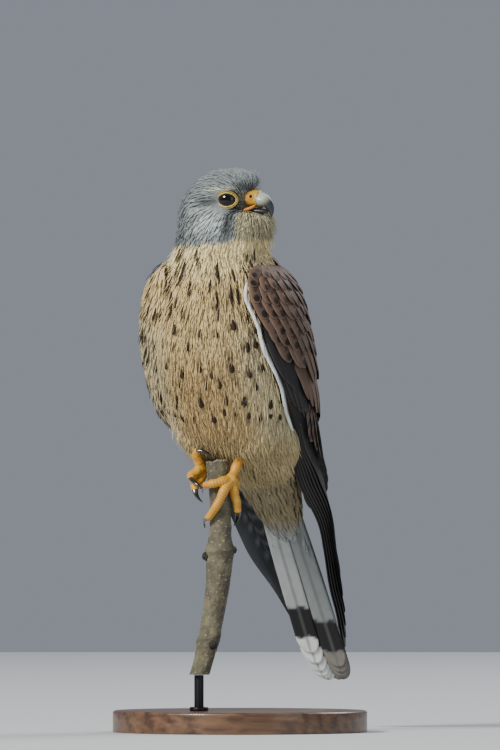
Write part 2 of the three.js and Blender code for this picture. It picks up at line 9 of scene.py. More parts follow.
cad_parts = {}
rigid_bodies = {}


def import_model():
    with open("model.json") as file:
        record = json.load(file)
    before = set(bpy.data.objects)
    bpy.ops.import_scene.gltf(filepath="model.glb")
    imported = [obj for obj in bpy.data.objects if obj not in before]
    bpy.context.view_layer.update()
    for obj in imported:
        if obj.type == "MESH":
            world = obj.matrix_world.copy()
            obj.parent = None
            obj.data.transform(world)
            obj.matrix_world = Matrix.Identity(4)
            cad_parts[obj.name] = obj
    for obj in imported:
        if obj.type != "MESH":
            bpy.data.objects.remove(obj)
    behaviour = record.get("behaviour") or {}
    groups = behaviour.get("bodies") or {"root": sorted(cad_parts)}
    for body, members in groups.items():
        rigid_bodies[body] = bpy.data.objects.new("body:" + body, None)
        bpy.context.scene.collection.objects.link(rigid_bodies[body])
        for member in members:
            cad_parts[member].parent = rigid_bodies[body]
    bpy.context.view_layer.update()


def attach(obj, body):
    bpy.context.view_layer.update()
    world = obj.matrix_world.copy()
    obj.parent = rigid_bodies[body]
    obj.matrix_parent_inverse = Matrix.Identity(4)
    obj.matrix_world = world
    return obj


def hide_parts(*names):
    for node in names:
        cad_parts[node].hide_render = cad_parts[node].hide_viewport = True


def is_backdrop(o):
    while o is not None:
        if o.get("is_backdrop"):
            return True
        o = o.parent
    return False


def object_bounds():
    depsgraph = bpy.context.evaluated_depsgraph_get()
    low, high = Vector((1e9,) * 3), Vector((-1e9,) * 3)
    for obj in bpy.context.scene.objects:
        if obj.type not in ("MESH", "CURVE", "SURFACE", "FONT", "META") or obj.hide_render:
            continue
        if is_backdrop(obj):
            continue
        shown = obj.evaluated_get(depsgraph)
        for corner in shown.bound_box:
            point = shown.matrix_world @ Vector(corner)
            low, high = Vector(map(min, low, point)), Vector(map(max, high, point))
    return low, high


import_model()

# Driving sizes
MM = 0.001
LEFT = 1
RIGHT = -1
SIDES = (LEFT, RIGHT)
SIDE_NAME = {LEFT: "left", RIGHT: "right"}
UP = np.array([0.0, 0.0, 1.0])
BODY_PLACE = (-10.5, -25.0)
BODY_YAW = math.radians(25)
CHEST_HEIGHT = 215
CHEST_LEAN = 0.1
NECK_TOP = 268  # height where the body's feathers end under the hood's
HOOD_FOOT = -24  # and where the hood's begin, from the middle of the head
HEAD_PLACE = (-9.1, -31.0, 290.0)
HEAD_YAW = math.radians(-32)
TAIL_PLACE = (57.0, 152.0)
TAIL_LEAN = math.radians(36)
TAIL_LENGTH = 155.0

# Height, middle, half width and half depth of the body
BODY_SLICES = [
    [131, 52, 6, 6],
    [137, 48, 16.5, 16],
    [145, 41, 26, 24.5],
    [155, 32, 32.5, 31],
    [170, 21, 36.5, 36],
    [190, 10.5, 39, 38],
    [215, 3, 39, 37.5],
    [240, 2, 36.5, 34],
    [256, 1.5, 31.5, 29.5],
    [266, 0.5, 26.5, 26],
    [278, -3.5, 22.5, 22.5],
    [290, -7, 19, 18.5],
    [300, -8.5, 13, 13],
]
# Height, middle, half length, half width, squareness and how much the face narrows
HEAD_SLICES = [
    [258, -1, 24, 21, 2.2, 0],
    [267.5, 0.5, 25.5, 22.5, 2.3, 0],
    [276, 1.6, 26.2, 22.5, 2.5, 0],
    [283, 2, 25.6, 21.5, 2.6, 0.06],
    [290, 0.6, 23.2, 19.5, 2.5, 0.24],
    [297, 1.6, 21.8, 18.6, 2.3, 0.28],
    [303.5, 4, 17.2, 15.4, 2.1, 0.2],
    [308, 5.6, 11, 9.6, 2, 0.1],
    [309.8, 6, 4, 3.6, 2, 0],
]
# Place along the tail, half width, and how far the core reaches above and below
TAIL_CORE = [
    [-24, 20, 16, 20],
    [-6, 22, 15, 21],
    [8, 20.5, 12, 18],
    [24, 17.5, 8, 13],
    [42, 13.5, 4.6, 7.5],
    [56, 9, 2.4, 3.4],
]
# Depth, distance from the middle, height and radius down a thigh
THIGH = [[22, 21, 186, 14], [14, 19, 170, 15.5], [10, 14, 158, 11], [9, 10.5, 150.5, 5]]
# Height, middle of the body there, half width and half depth round it, and the wing's first and last degrees
WING_SLICES = [
    [40, 142, 13, 16.5, 92, 160],
    [50, 136.6, 14.4, 18.5, 92, 162],
    [64, 124.7, 17.6, 20.5, 91, 164],
    [80, 109.1, 20.8, 22, 90, 166],
    [100, 88.6, 26.7, 23.5, 90, 168],
    [117, 77.8, 29.5, 23, 84, 168],
    [140, 63, 31.5, 26, 64, 167],
    [155, 51, 33, 29, 65, 166],
    [175, 25, 43, 37, 61, 160],
    [190, 17, 46, 39, 58, 156],
    [208, 10.5, 47, 40, 50, 152],
    [223, 6, 46, 39.5, 47, 146],
    [242, 3, 42, 37, 42, 132],
    [252, 2, 36.5, 33.5, 52, 118],
    [257, 2, 32, 30.5, 70, 104],
]
# Rows of wing feathers: how many, root and tip of the first and last as height and place across the wing,
# lift of both roots and both tips, both widths, tilt in degrees and kind
WING_ROWS = [
    (8, (196, 0.06, 182, 0.22), (42, 0.16, 92, 0.7), (-5.4, -3.4, -4.6, -0.6), (12.5, 12.5), 4, "primary"),
    (9, (190, 0.3, 184, 0.9), (162, 0.3, 121, 0.86), (-2.8, -2.8, 0.3, 0.6), (12, 13.5), 8, "secondary"),
    (4, (214, 0.05, 208, 0.22), (182, 0.05, 173, 0.22), (-2.8, -2.8, -0.3, 0), (7, 9), 8, "dark"),
    (10, (208, 0.24, 204, 0.93), (182, 0.26, 165, 0.9), (-2.8, -2.8, 1.2, 1.4), (10.5, 11.5), 9, "covert"),
    (3, (224, 0.05, 219, 0.14), (192, 0.06, 186, 0.13), (-2, -2, 0.8, 0.9), (6, 7), 6, "dark"),
    (11, (224, 0.13, 219, 0.95), (202, 0.15, 190, 0.93), (-2.6, -2.6, 1.5, 1.7), (9.5, 10.5), 9, "covert"),
    (12, (230, 0.1, 227, 0.96), (211, 0.11, 203, 0.95), (-2.4, -2.4, 1.6, 1.9), (8.6, 10), 8, "covert"),
    (12, (237, 0.07, 235, 0.97), (220, 0.08, 214, 0.96), (-2.2, -2.2, 1.6, 2.0), (8.2, 9.5), 8, "covert"),
    (12, (243, 0.06, 242, 0.98), (228, 0.06, 224, 0.97), (-2, -2, 1.6, 2.1), (7.6, 9), 8, "covert"),
    (11, (249, 0.05, 248, 0.98), (236, 0.05, 233, 0.97), (-1.8, -1.8, 1.6, 2.1), (7.2, 8.5), 8, "covert"),
    (9, (254, 0.04, 253, 0.98), (243, 0.04, 241, 0.97), (-1.6, -1.6, 1.6, 2.0), (7, 8), 8, "covert"),
    (7, (256.5, 0.04, 256, 0.98), (249, 0.04, 247, 0.97), (-1.4, -1.4, 1.5, 1.8), (7, 8), 8, "covert"),
    (17, (247, -0.02, 184, 0.0), (234, -0.03, 158, -0.02), (0.2, -0.6, 1.3, 0.5), (2.1, 1.9), 0, "edge"),
]
LONG_KINDS = ("primary", "secondary")
WOBBLE_ACROSS = {"covert": 0.009, "edge": 0.004}  # how unevenly a row's feathers stand across the wing
WOBBLE_DOWN = {"covert": 1.3}  # and how unevenly their tips end
PRIMARY_TURN = 1.6  # how late the longest feathers turn back
PRIMARY_FALL = 1.4
COVERED = {LEFT: 0.0, RIGHT: 0.17}  # how much of each wing's front the flank feathers hide
WING_BED = {"top": 256, "foot": 152, "slices": 40, "across": 24, "skin": -1.4, "thick": 9, "edge": 1.6}

TAIL_PAIRS = 6
TAIL_VANE = {"width": 13.4, "step": 0.82, "spread": 0.35}
TAIL_MIDDLE = 3.2  # from the middle line to that of each middle feather
TAIL_OUT = {LEFT: 6.0, RIGHT: 4.6}
TAIL_RAISED = {LEFT: 0.42, RIGHT: 0}
# The bird's left tail feathers take painted shade: darker vanes and grey-brown tips in place of white
TAIL_KIND = {LEFT: "shade_painted_tail", RIGHT: "tail"}
TAIL_SHORT_SHARE = {LEFT: 0.55, RIGHT: 1}  # how much shorter the outer feathers look on each side
TAIL_SHORTER = [0, 1.5, 4, 8, 14, 22]
TAIL_TIP = 10.5  # of white, from the end of each feather
TAIL_BAND = 21.0  # of black above it

EYE = {"f": 10.2, "s": 11.7, "h": 2.2, "radius": 6, "turn": math.radians(68)}
LID = {"wide": 5.35, "high": 3.85, "shell": 6.25, "thick": 0.38, "corner": 0.9}
FOLD = {"wide": 6.1, "high": 4.8, "shell": 6.75, "thick": 0.3, "corner": 0.7}
EYE_ROOM = (6.7, 5.5)  # half width and height of the bare patch round the eye
BROW = {"f": 10.5, "s": 13.6, "h": 7.6, "long": 9, "thick": 2.6}
# Rows of the cere and both halves of the bill: place to the front, height, half width and half height
CERE = [[15.5, 2.6, 4.4, 4.2], [20, 3.1, 4.8, 4.6], [23.6, 2.8, 4.5, 4.4]]
UPPER_BILL = [
    [23.0, 2.8, 4.3, 4.2],
    [26.3, 2.0, 3.6, 3.7],
    [28.6, 0.3, 2.8, 3.0],
    [30.3, -2.0, 1.9, 2.3],
    [31.1, -4.5, 1.1, 1.4],
    [31.1, -7.2, 0.22, 0.28],
]
LOWER_BILL = [[16, -3.4, 4.4, 1.5], [22, -3.7, 3.9, 1.6], [26.6, -4, 2.7, 1.4], [28.8, -4.1, 1.3, 0.8]]
# Place to the front, to the side and up along the corner of the mouth
GAPE = [[23.4, 4.3, -0.6], [21, 5.4, -2.2], [17.4, 7.4, -3.6], [15, 9.2, -3.4]]
NOSTRIL = {"f": 20.6, "s": 4.9, "h": 4.0, "radius": 1.0, "deep": 1.5}
BILL_BASE = (18.0, 0.0, 1.0)  # the lie of the head's feathers runs from here

STICK_Y = -20.0
# Height, place across the view and radius of the stick
STICK = [
    [32, -22.5, 5.5],
    [46, -18.3, 5.7],
    [50, -17.3, 6.3],
    [54, -16.4, 6.0],
    [76, -12.9, 6.3],
    [96, -11.3, 7.4],
    [100, -11.2, 8.0],
    [104, -11, 6.8],
    [122, -10.6, 5.7],
    [140, -12.2, 5.8],
    [149, -12.9, 5.9],
]
SCARS = [(52, 1.5, 0, 1.1), (98, 2, 1, 1.0)]  # height, swing, turn and width of each leaf scar
PORES = {"step": (3.1, 2.6), "half": (0.6, 0.3), "seed": 21.0, "keep": 0.35}
# Height, turn, radius and reach of each bud
BUDS = [(97, -70, 2.4, 7.6), (100.4, 78, 2.2, 7.4), (48.6, 30, 2.6, 5.2)]
ROD_AT = (-22.5, STICK_Y)
ROD = {"at": ROD_AT, "radius": 2.6, "foot": 12.3, "top": 31.7, "round": 0.3}
COLLAR = {"at": ROD_AT, "radius": 5.2, "foot": 12.05, "top": 14.2, "round": 0.7}
EASED = 0.6
BASE = {"at": (0, 0), "radius": 70, "foot": 0, "top": 12, "round": 1.5}

# Feet: ankle, ball, then each toe's line with the point its claw bends over and the claw's tip
TOE_ROOT = 2.9
TOE_END = 1.9
SHANK = 2.7
CLAW_ROOT = 1.7
SCUTE = 1.35  # length of one scale along a toe
SCUTE_DEEP = 0.24
FOOT_GRAIN = 0.24  # size of the finest shapes kept on the feet
SKIN_GRAIN = 1.1  # and on the body under the feathers
FEET = {
    LEFT: {
        "ankle": [3, -15, 158],
        "ball": [-4.6, -24.6, 139.4],
        "toes": {
            "inner": ([[-8.6, -27.6, 138.4], [-14.4, -29, 137], [-20.4, -25.6, 135.7]],
                      [-22.2, -22.8, 134.6], [-20.2, -18.4, 131.4]),
            "middle": ([[-8.2, -28.2, 134], [-12.4, -28.8, 125.5], [-18.3, -25.4, 117]],
                       [-20.8, -21, 115.6], [-19, -16.6, 112]),
            "outer": ([[-3.2, -24, 133], [-1.6, -22.6, 126.5], [-0.9, -20.6, 120.6]],
                      [-0.6, -17.8, 117.4], [-3.6, -15.6, 113.4]),
            "hind": ([[-2.4, -18.6, 137.6], [-3, -14.2, 135.6], [-6.8, -11, 134]],
                     [-9.6, -9.8, 133.6], [-12.6, -11.4, 131]),
        },
    },
    RIGHT: {
        "ankle": [-27, -8, 158],
        "ball": [-20.4, -13.2, 144.4],
        "toes": {
            "inner": ([[-22.6, -16.2, 148.4], [-24.2, -19.6, 153.2], [-22.8, -22.2, 155.4]],
                      [-18.4, -24.6, 155.2], [-14.4, -24.8, 150.2]),
            "middle": ([[-23.6, -17.4, 143.6], [-27, -20.2, 141.2], [-26.8, -23.4, 138.8]],
                       [-25, -28.6, 137.4], [-19.6, -29.6, 133.4]),
            "outer": ([[-21.8, -15.4, 139.2], [-25, -18.6, 136.4], [-24.6, -21.6, 132.6]],
                      [-24.4, -23.4, 129.4], [-20.2, -23.6, 126.4]),
            "hind": ([[-17.6, -9.4, 143.4], [-14, -8.6, 142.4], [-10.4, -9, 141.8]],
                     [-7.6, -9.6, 142.2], [-5.6, -12, 141.6]),
        },
    },
}

# Colours, as linear red, green and blue
GREY = (0.2, 0.232, 0.244)
GREY_DARK = (0.06, 0.068, 0.072)
CHEEK = (0.43, 0.49, 0.49)
BROW_PALE = (0.5, 0.52, 0.44)
CHIN = (0.4, 0.37, 0.24)
CREAM = (0.8, 0.68, 0.38)
BUFF = (0.56, 0.43, 0.22)
WARM = (0.45, 0.3, 0.13)
FLANK = (0.54, 0.46, 0.28)
# The buff of the vent and of the undertail coverts, each with painted shade in it
VENT_BUFF_AND_SHADE = (0.45, 0.36, 0.185)
UNDERTAIL_BUFF_AND_SHADE = (0.3, 0.25, 0.145)
MARK = (0.028, 0.018, 0.012)
RUFOUS = (0.105, 0.062, 0.044)
RUFOUS_PALE = (0.2, 0.137, 0.102)
SPOT = (0.012, 0.009, 0.008)
QUILL = (0.016, 0.0145, 0.016)
QUILL_EDGE = (0.05, 0.044, 0.042)
QUILL_UNDER = (0.1, 0.112, 0.118)
WHITE = (0.72, 0.74, 0.72)
# Painted shade: the white tail tips as they look in shade
SHADED_TAIL_TIP = (0.2, 0.185, 0.165)
TAIL_GREY = (0.29, 0.315, 0.32)
TAIL_UNDER = (0.36, 0.4, 0.41)
BAND = (0.016, 0.015, 0.017)
YELLOW = (0.57, 0.33, 0.035)
ORANGE = (0.56, 0.19, 0.012)
BARK = (0.145, 0.128, 0.08)
BARK_DARK = (0.05, 0.044, 0.034)
PORE = (0.33, 0.31, 0.22)
WOOD_CUT = (0.3, 0.27, 0.19)
LICHEN = (0.13, 0.145, 0.085)
LORES = (0.3, 0.29, 0.2)
# Painted shade inside the nostrils
NOSTRIL_SHADE = (0.02, 0.008, 0.004)
BILL_PALE = (0.33, 0.37, 0.31)
BILL_DARK = (0.018, 0.02, 0.024)
LID_GOLD = (0.42, 0.32, 0.06)
FOLD_BROWN = (0.24, 0.17, 0.04)
IRIS = (0.016, 0.009, 0.006)
PUPIL = (0.002, 0.002, 0.003)
# Painted shade in the grooves between the scales of the feet
SCUTE_GROOVE_SHADE = (0.2, 0.085, 0.02)
CLAW_BLACK = (0.012, 0.011, 0.01)
CLAW_PALE = (0.09, 0.07, 0.05)

# Dark marks round the body: room for each, half its width and height, grid, share kept, narrowing upwards
BODY_ROUND = 40.0
BODY_MIDDLE = 20.0  # behind the breast, and the middle that the marks go round
MARKS_BACK = 25  # no marks behind this
STREAKS = {"step": (5.0, 9.6), "half": (0.62, 4.6), "seed": 3.0, "keep": 0.85, "taper": 0.6}
DROPS = {"step": (7.2, 9.4), "half": (1.25, 2.5), "seed": 8.0, "keep": 0.78, "taper": 1.2}

# Small feathers and hairs: the places tried and the room that each one takes; then length, width and lift,
# from the lower or front end of a coat to the other where there are two
COATS = {
    "breast": {"roots": (120000, 0.96), "length": (12.5, 8.6), "width": (1.9, 1.35), "lift": (2.0, 1.25)},
    "tail": {"roots": (16000, 1.9), "length": (13, 19), "width": (2.6, 3.4), "lift": (1.6, 0.7)},
    "wisps": {"roots": (9000, 1.9), "length": (10, 5), "width": (0.75, 0.4)},
    "whiskers": {"roots": (20000, 0.85), "length": 6.6, "width": 0.34},
    "mantle": {"roots": (9000, 3.6), "length": 14.5, "width": 9.4},
}
HEM = {"lift": 3.2, "longer": 1.25}  # the loose edge of the lower belly
# On the head each size is a number, and a share of the length, which grows with the distance from the bill
HEAD_TRIES = 80000
HEAD_LENGTH = (2.6, 0.14)
HEAD_ROOM = (0.08, 0.14)
HEAD_WIDTH = (0.36, 0.17)
HEAD_LIFT = (0.5, 0.09)
CORE_END = 9  # the skin's feathers stop this far before the end of the tail's core

rng = np.random.default_rng(11)


# Numbers
def unit(v):
    return v / np.maximum(np.linalg.norm(v, axis=-1, keepdims=True), 1e-9)


def mix(a, b, t):
    return a + (b - a) * t


def ramp(x, start, end):
    """Smoothly from 0 at the start to 1 at the end, which may be the lower."""
    t = np.clip((x - start) / (end - start), 0, 1)
    return t * t * (3 - 2 * t)


def blend(colour, other, weight):
    """A colour turned towards another by a weight for each point."""
    return mix(np.array(colour), np.array(other), np.asarray(weight)[..., None])


def patch(*places):
    """A soft patch: 1 in its middle, fading away as any of the places goes past 1."""
    return np.exp(-sum(place**2 for place in places))


def bent(wave, power):
    """A sine or cosine drawn out to a squarer round."""
    return np.sign(wave) * np.abs(wave) ** (2 / power)


def lattice(i, j, k):
    """Numbers from 0 to 1 with no pattern, the same for the same three numbers."""
    x = np.sin(i * 127.1 + j * 311.7 + k * 74.7) * 43758.5453
    return x - np.floor(x)


def noise(points, size, seed=0):
    """Smooth noise from -1 to 1."""
    place = points / size + seed * 17.3
    cell = np.floor(place)
    weight = place - cell
    weight = weight * weight * (3 - 2 * weight)
    total = 0
    for corner in np.ndindex(2, 2, 2):
        share = np.prod(np.where(np.array(corner) == 1, weight, 1 - weight), axis=-1)
        total = total + share * lattice(*np.moveaxis(cell + corner, -1, 0))
    return total * 2 - 1


WOBBLE = 0.36


def mark_at(column, row, step, seed):
    """Middle and size of one mark of a staggered grid, and the number that says if it is left out."""
    a = (column + 0.5 * (row % 2) + 0.5 + WOBBLE * (2 * lattice(column, row, seed) - 1)) * step[0]
    b = (row + 0.5 + WOBBLE * (2 * lattice(column, row, seed + 1) - 1)) * step[1]
    return a, b, 0.75 + 0.5 * lattice(column, row, seed + 2), lattice(column, row, seed + 3)


def marks(a, b, step, half, seed, keep=1.0, taper=0.0):
    """Staggered rows of marks, 1 inside and 0 outside; taper narrows their upper ends."""
    best = np.zeros(np.broadcast(a, b).shape)
    for row_shift in (-1, 0, 1):
        row = np.floor(b / step[1]) + row_shift
        stagger = 0.5 * (row % 2)
        for column_shift in (-1, 0, 1):
            column = np.floor(a / step[0] - stagger) + column_shift
            middle_a, middle_b, size, chance = mark_at(column, row, step, seed)
            along = (b - middle_b) / (half[1] * size)
            across = (a - middle_a) / (half[0] * size) * (1 + taper * np.clip(along, 0, 1))
            inside = ramp(np.hypot(across, along), 1.2, 0.75)
            best = np.maximum(best, inside * (chance < keep))
    return best


class Through:
    """A smooth curve through rows of numbers, the first of each row being the place along it."""

    def __init__(self, rows):
        rows = np.array(rows, float)
        self.places = rows[:, 0]
        self.values = rows[:, 1:]

    def __call__(self, at):
        places = self.places
        values = self.values
        last = len(places) - 1
        at = np.clip(np.asarray(at, float), places[0], places[-1])
        i = np.clip(np.searchsorted(places, at, side="right"), 1, last)
        before = np.where(i > 1, i - 2, i)
        after = np.where(i < last, np.minimum(i + 1, last), i - 1)
        start, end = places[i - 1], places[i]
        half = (end - start) / 2
        w_before = half / (start - places[before])
        w_after = half / (places[after] - end)
        p = (at - start) / (end - start)
        shares = (
            -w_before * p**3 + 2 * w_before * p**2 - w_before * p,
            (1 + w_before) * p**3 + (-1.5 - 2 * w_before) * p**2 + (-0.5 + w_before) * p + 1,
            (-1 - w_after) * p**3 + (1.5 + w_after) * p**2 + 0.5 * p,
            w_after * p**3 - w_after * p**2,
        )
        rows = (values[before], values[i - 1], values[i], values[after])
        return sum(share[..., None] * row for share, row in zip(shares, rows))


body_slice = Through(BODY_SLICES)
head_slice = Through(HEAD_SLICES)
core_slice = Through(TAIL_CORE)
wing_slice = Through(WING_SLICES)
stick_slice = Through(STICK)


# Frames
def body_point(u, v, z):
    x0, y0 = BODY_PLACE
    sin, cos = math.sin(BODY_YAW), math.cos(BODY_YAW)
    return np.stack(np.broadcast_arrays(x0 + u * sin + v * cos, y0 + u * cos - v * sin, z), -1)


def to_body(points):
    x = points[..., 0] - BODY_PLACE[0]
    y = points[..., 1] - BODY_PLACE[1]
    sin, cos = math.sin(BODY_YAW), math.cos(BODY_YAW)
    return x * sin + y * cos, x * cos - y * sin, points[..., 2]


def set_back(u, z):
    """How far back a point lies, square to the lean of the body."""
    return u + (z - CHEST_HEIGHT) * CHEST_LEAN


def head_point(f, s, h):
    x0, y0, z0 = HEAD_PLACE
    sin, cos = math.sin(HEAD_YAW), math.cos(HEAD_YAW)
    return np.stack(np.broadcast_arrays(x0 + f * cos - s * sin, y0 + f * sin + s * cos, z0 + h), -1)


def to_head(points):
    x = points[..., 0] - HEAD_PLACE[0]
    y = points[..., 1] - HEAD_PLACE[1]
    sin, cos = math.sin(HEAD_YAW), math.cos(HEAD_YAW)
    return x * cos + y * sin, -x * sin + y * cos, points[..., 2] - HEAD_PLACE[2]


def tail_point(along, across, above):
    sin, cos = math.sin(TAIL_LEAN), math.cos(TAIL_LEAN)
    u, z = TAIL_PLACE
    return body_point(u + along * sin + above * cos, across, z - along * cos + above * sin)


def to_tail(points):
    u, v, z = to_body(points)
    sin, cos = math.sin(TAIL_LEAN), math.cos(TAIL_LEAN)
    back, down = u - TAIL_PLACE[0], z - TAIL_PLACE[1]
    return back * sin - down * cos, v, back * cos + down * sin


def wing_point(side, z, across, lift):
    u, half, deep, first, last = np.moveaxis(wing_slice(z), -1, 0)
    turn = np.radians(mix(first, last, across))
    return body_point(u - (deep + lift) * np.cos(turn), side * (half + lift) * np.sin(turn), z)


HEAD_FORWARD = head_point(1, 0, 0) - head_point(0, 0, 0)
TAILWARD = tail_point(1, 0, 0) - tail_point(0, 0, 0)
BACKWARD = body_point(1, 0, 0) - body_point(0, 0, 0)


def eye_axes(side):
    """Middle of the eye, and the ways out, to the bill and up."""
    turn = EYE["turn"]
    middle = head_point(EYE["f"], side * EYE["s"], EYE["h"])
    out = unit(head_point(EYE["f"] + math.cos(turn), side * (EYE["s"] + math.sin(turn)), EYE["h"]) - middle)
    front = np.cross(UP, out)
    front = unit(front * np.sign(front @ HEAD_FORWARD))
    return middle, out, front, unit(np.cross(out, front) * np.sign(np.cross(out, front)[2]))


# Meshes
def turns(count):
    return np.arange(count) * 2 * math.pi / count


def mesh_of(name, points, faces):
    """A mesh from points in millimetres and arrays of triangles or quads."""
    mesh = bpy.data.meshes.new(name)
    mesh.vertices.add(len(points))
    mesh.vertices.foreach_set("co", (points * MM).astype(np.float32).ravel())
    corners = np.concatenate([f.ravel() for f in faces])
    counts = np.concatenate([np.full(len(f), f.shape[1]) for f in faces])
    mesh.loops.add(len(corners))
    mesh.loops.foreach_set("vertex_index", corners.astype(np.int32))
    mesh.polygons.add(len(counts))
    mesh.polygons.foreach_set("loop_start", (np.cumsum(counts) - counts).astype(np.int32))
    mesh.update(calc_edges=True)
    mesh.shade_smooth()
    return mesh


def outward(rings, *others):
    """Turns the rings of each tube round where its faces would point in, and the other arrays with them."""
    middle = rings.mean(axis=2, keepdims=True)
    ahead = middle[:, 1:, 0] - middle[:, :-1, 0]
    spin = np.cross(rings - middle, np.roll(rings, -1, axis=2) - middle).sum(axis=2)
    wrong = ((spin[:, :-1] + spin[:, 1:]) * ahead).sum(axis=(1, 2)) < 0
    for array in (rings, *others):
        array[wrong] = array[wrong][:, :, ::-1]
    return rings


def tube_faces(count, stations, sides):
    """Faces of closed tubes whose points run tube by tube, ring by ring."""
    first = (np.arange(count) * stations * sides)[:, None, None]
    a = first + (np.arange(stations - 1) * sides)[None, :, None] + np.arange(sides)
    b = first + (np.arange(stations - 1) * sides)[None, :, None] + (np.arange(sides) + 1) % sides
    walls = np.stack([a, b, b + sides, a + sides], -1).reshape(-1, 4)
    end = first[:, 0] + (stations - 1) * sides
    if sides == 3:
        foot = first[:, 0] + np.array([2, 1, 0])
        return [walls, np.concatenate([foot, end + np.array([0, 1, 2])])]
    i = np.arange(sides // 2 - 1)
    cap = np.stack([i, i + 1, sides - 2 - i, sides - 1 - i], -1)
    foot = (first[:, 0, :, None] + cap[None, :, ::-1]).reshape(-1, 4)
    return [np.concatenate([walls, foot, (end[:, :, None] + cap[None]).reshape(-1, 4)])]


def colour_points(mesh, colours):
    """Gives a mesh its colours: one for each point, or one for all."""
    layer = mesh.attributes.new("tint", "FLOAT_COLOR", "POINT")
    solid = np.ones((len(mesh.vertices), 4), np.float32)
    solid[:, :3] = np.clip(np.reshape(colours, (-1, 3)), 0, 1)
    layer.data.foreach_set("color", solid.ravel())


def uv_points(mesh, name, places):
    layer = mesh.uv_layers.new(name=name)
    corner = np.zeros(len(mesh.loops), np.int32)
    mesh.loops.foreach_get("vertex_index", corner)
    layer.data.foreach_set("uv", places.reshape(-1, 2)[corner].astype(np.float32).ravel())


def coords(mesh):
    points = np.zeros(len(mesh.vertices) * 3)
    mesh.vertices.foreach_get("co", points)
    return points.reshape(-1, 3) / MM


def normals(mesh):
    values = np.zeros(len(mesh.vertices) * 3)
    mesh.vertices.foreach_get("normal", values)
    return values.reshape(-1, 3)


def set_coords(mesh, points):
    mesh.vertices.foreach_set("co", (points * MM).astype(np.float32).ravel())
    mesh.update()


def piece(name, mesh, material, slot, *nodes):
    """Puts a mesh in the scene as a finished piece of the bird, the stick or the stand."""
    made = bpy.data.objects.new(name, mesh)
    bpy.context.scene.collection.objects.link(made)
    mesh.materials.append(material)
    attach(made, "root")
    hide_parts(*nodes)
    return made


def along_curve(rows, count):
    """Evenly spaced points on a smooth curve through a few points."""
    rows = np.array(rows, float)
    curve = Through(np.column_stack([np.arange(len(rows)), rows]))
    fine = curve(np.linspace(0, len(rows) - 1, 240))
    reach = np.concatenate([[0], np.cumsum(np.linalg.norm(np.diff(fine, axis=0), axis=1))])
    at = np.linspace(0, reach[-1], count)
    return np.stack([np.interp(at, reach, fine[:, i]) for i in range(fine.shape[1])], -1), reach[-1]


def tube_rings(line, radii, sides, up, flat=1.0):
    """Rings round a line; radii is one row of numbers per ring, up points to the first point of each."""
    ahead = unit(np.gradient(line, axis=0))
    up = unit(up - (up * ahead).sum(-1, keepdims=True) * ahead)
    side = np.cross(ahead, up)
    t = turns(sides)
    radii = np.broadcast_to(radii if np.ndim(radii) == 2 else np.reshape(radii, (-1, 1)), (len(line), sides))
    across = up[:, None] * np.cos(t)[:, None] + flat * side[:, None] * np.sin(t)[:, None]
    return line[:, None] + across * radii[..., None]


def loft_mesh(name, rings, colours=None):
    """One closed mesh over rings of equally many points, with a colour for each point if any."""
    solid = rings[None].copy()
    shades = [] if colours is None else [colours[None].copy()]
    outward(solid, *shades)
    mesh = mesh_of(name, solid.reshape(-1, 3), tube_faces(1, *rings.shape[:2]))
    for shade in shades:
        colour_points(mesh, shade)
    return mesh


def tree_of(points):
    """Finds the nearest of many points."""
    tree = KDTree(len(points))
    for number, point in enumerate(points):
        tree.insert(point, number)
    tree.balance()
    return tree


def relax(mesh, points, rounds, amount=0.5):
    """Smooths the points of a mesh, each towards the middle of its neighbours."""
    edges = np.zeros(len(mesh.edges) * 2, np.int32)
    mesh.edges.foreach_get("vertices", edges)
    ends = np.concatenate([edges[0::2], edges[1::2]])
    others = np.concatenate([edges[1::2], edges[0::2]])
    count = np.maximum(np.bincount(ends, minlength=len(points)), 1)
    for _ in range(rounds):
        total = np.stack([np.bincount(ends, points[others, i], len(points)) for i in range(3)], -1)
        points = points + amount * (total / count[:, None] - points)
    return points


def fused(name, parts, voxel, rounds):
    """One closed skin over several overlapping tubes, with their creases smoothed."""
    start = 0
    points, faces = [], []
    for rings in parts:
        rings = outward(rings[None].copy())
        points.append(rings.reshape(-1, 3))
        faces += [f + start for f in tube_faces(1, rings.shape[1], rings.shape[2])]
        start += points[-1].shape[0]
    rough = bpy.data.objects.new(name, mesh_of(name, np.concatenate(points), faces))
    bpy.context.scene.collection.objects.link(rough)
    remesh = rough.modifiers.new("one_skin", "REMESH")
    remesh.mode = "VOXEL"
    remesh.voxel_size = voxel * MM
    shown = rough.evaluated_get(bpy.context.evaluated_depsgraph_get())
    mesh = bpy.data.meshes.new_from_object(shown)
    bpy.data.objects.remove(rough)
    set_coords(mesh, relax(mesh, coords(mesh), rounds))
    mesh.shade_smooth()
    return mesh


# Shaders
class Value:
    """A shader number or colour that takes plain arithmetic."""

    def __init__(self, paint, socket):
        self.paint = paint
        self.socket = socket

    def maths(self, kind, *others):
        return self.paint.node("ShaderNodeMath", {"operation": kind}, dict(enumerate((self, *others))))

    def __add__(self, other):
        return self.maths("ADD", other)

    def __sub__(self, other):
        return self.maths("SUBTRACT", other)

    def __mul__(self, other):
        return self.maths("MULTIPLY", other)

    def __rsub__(self, other):
        return (self * -1) + other

    __radd__ = __add__
    __rmul__ = __mul__

    def part(self, axis):
        return self.paint.node("ShaderNodeSeparateXYZ", {}, {0: self}, axis)


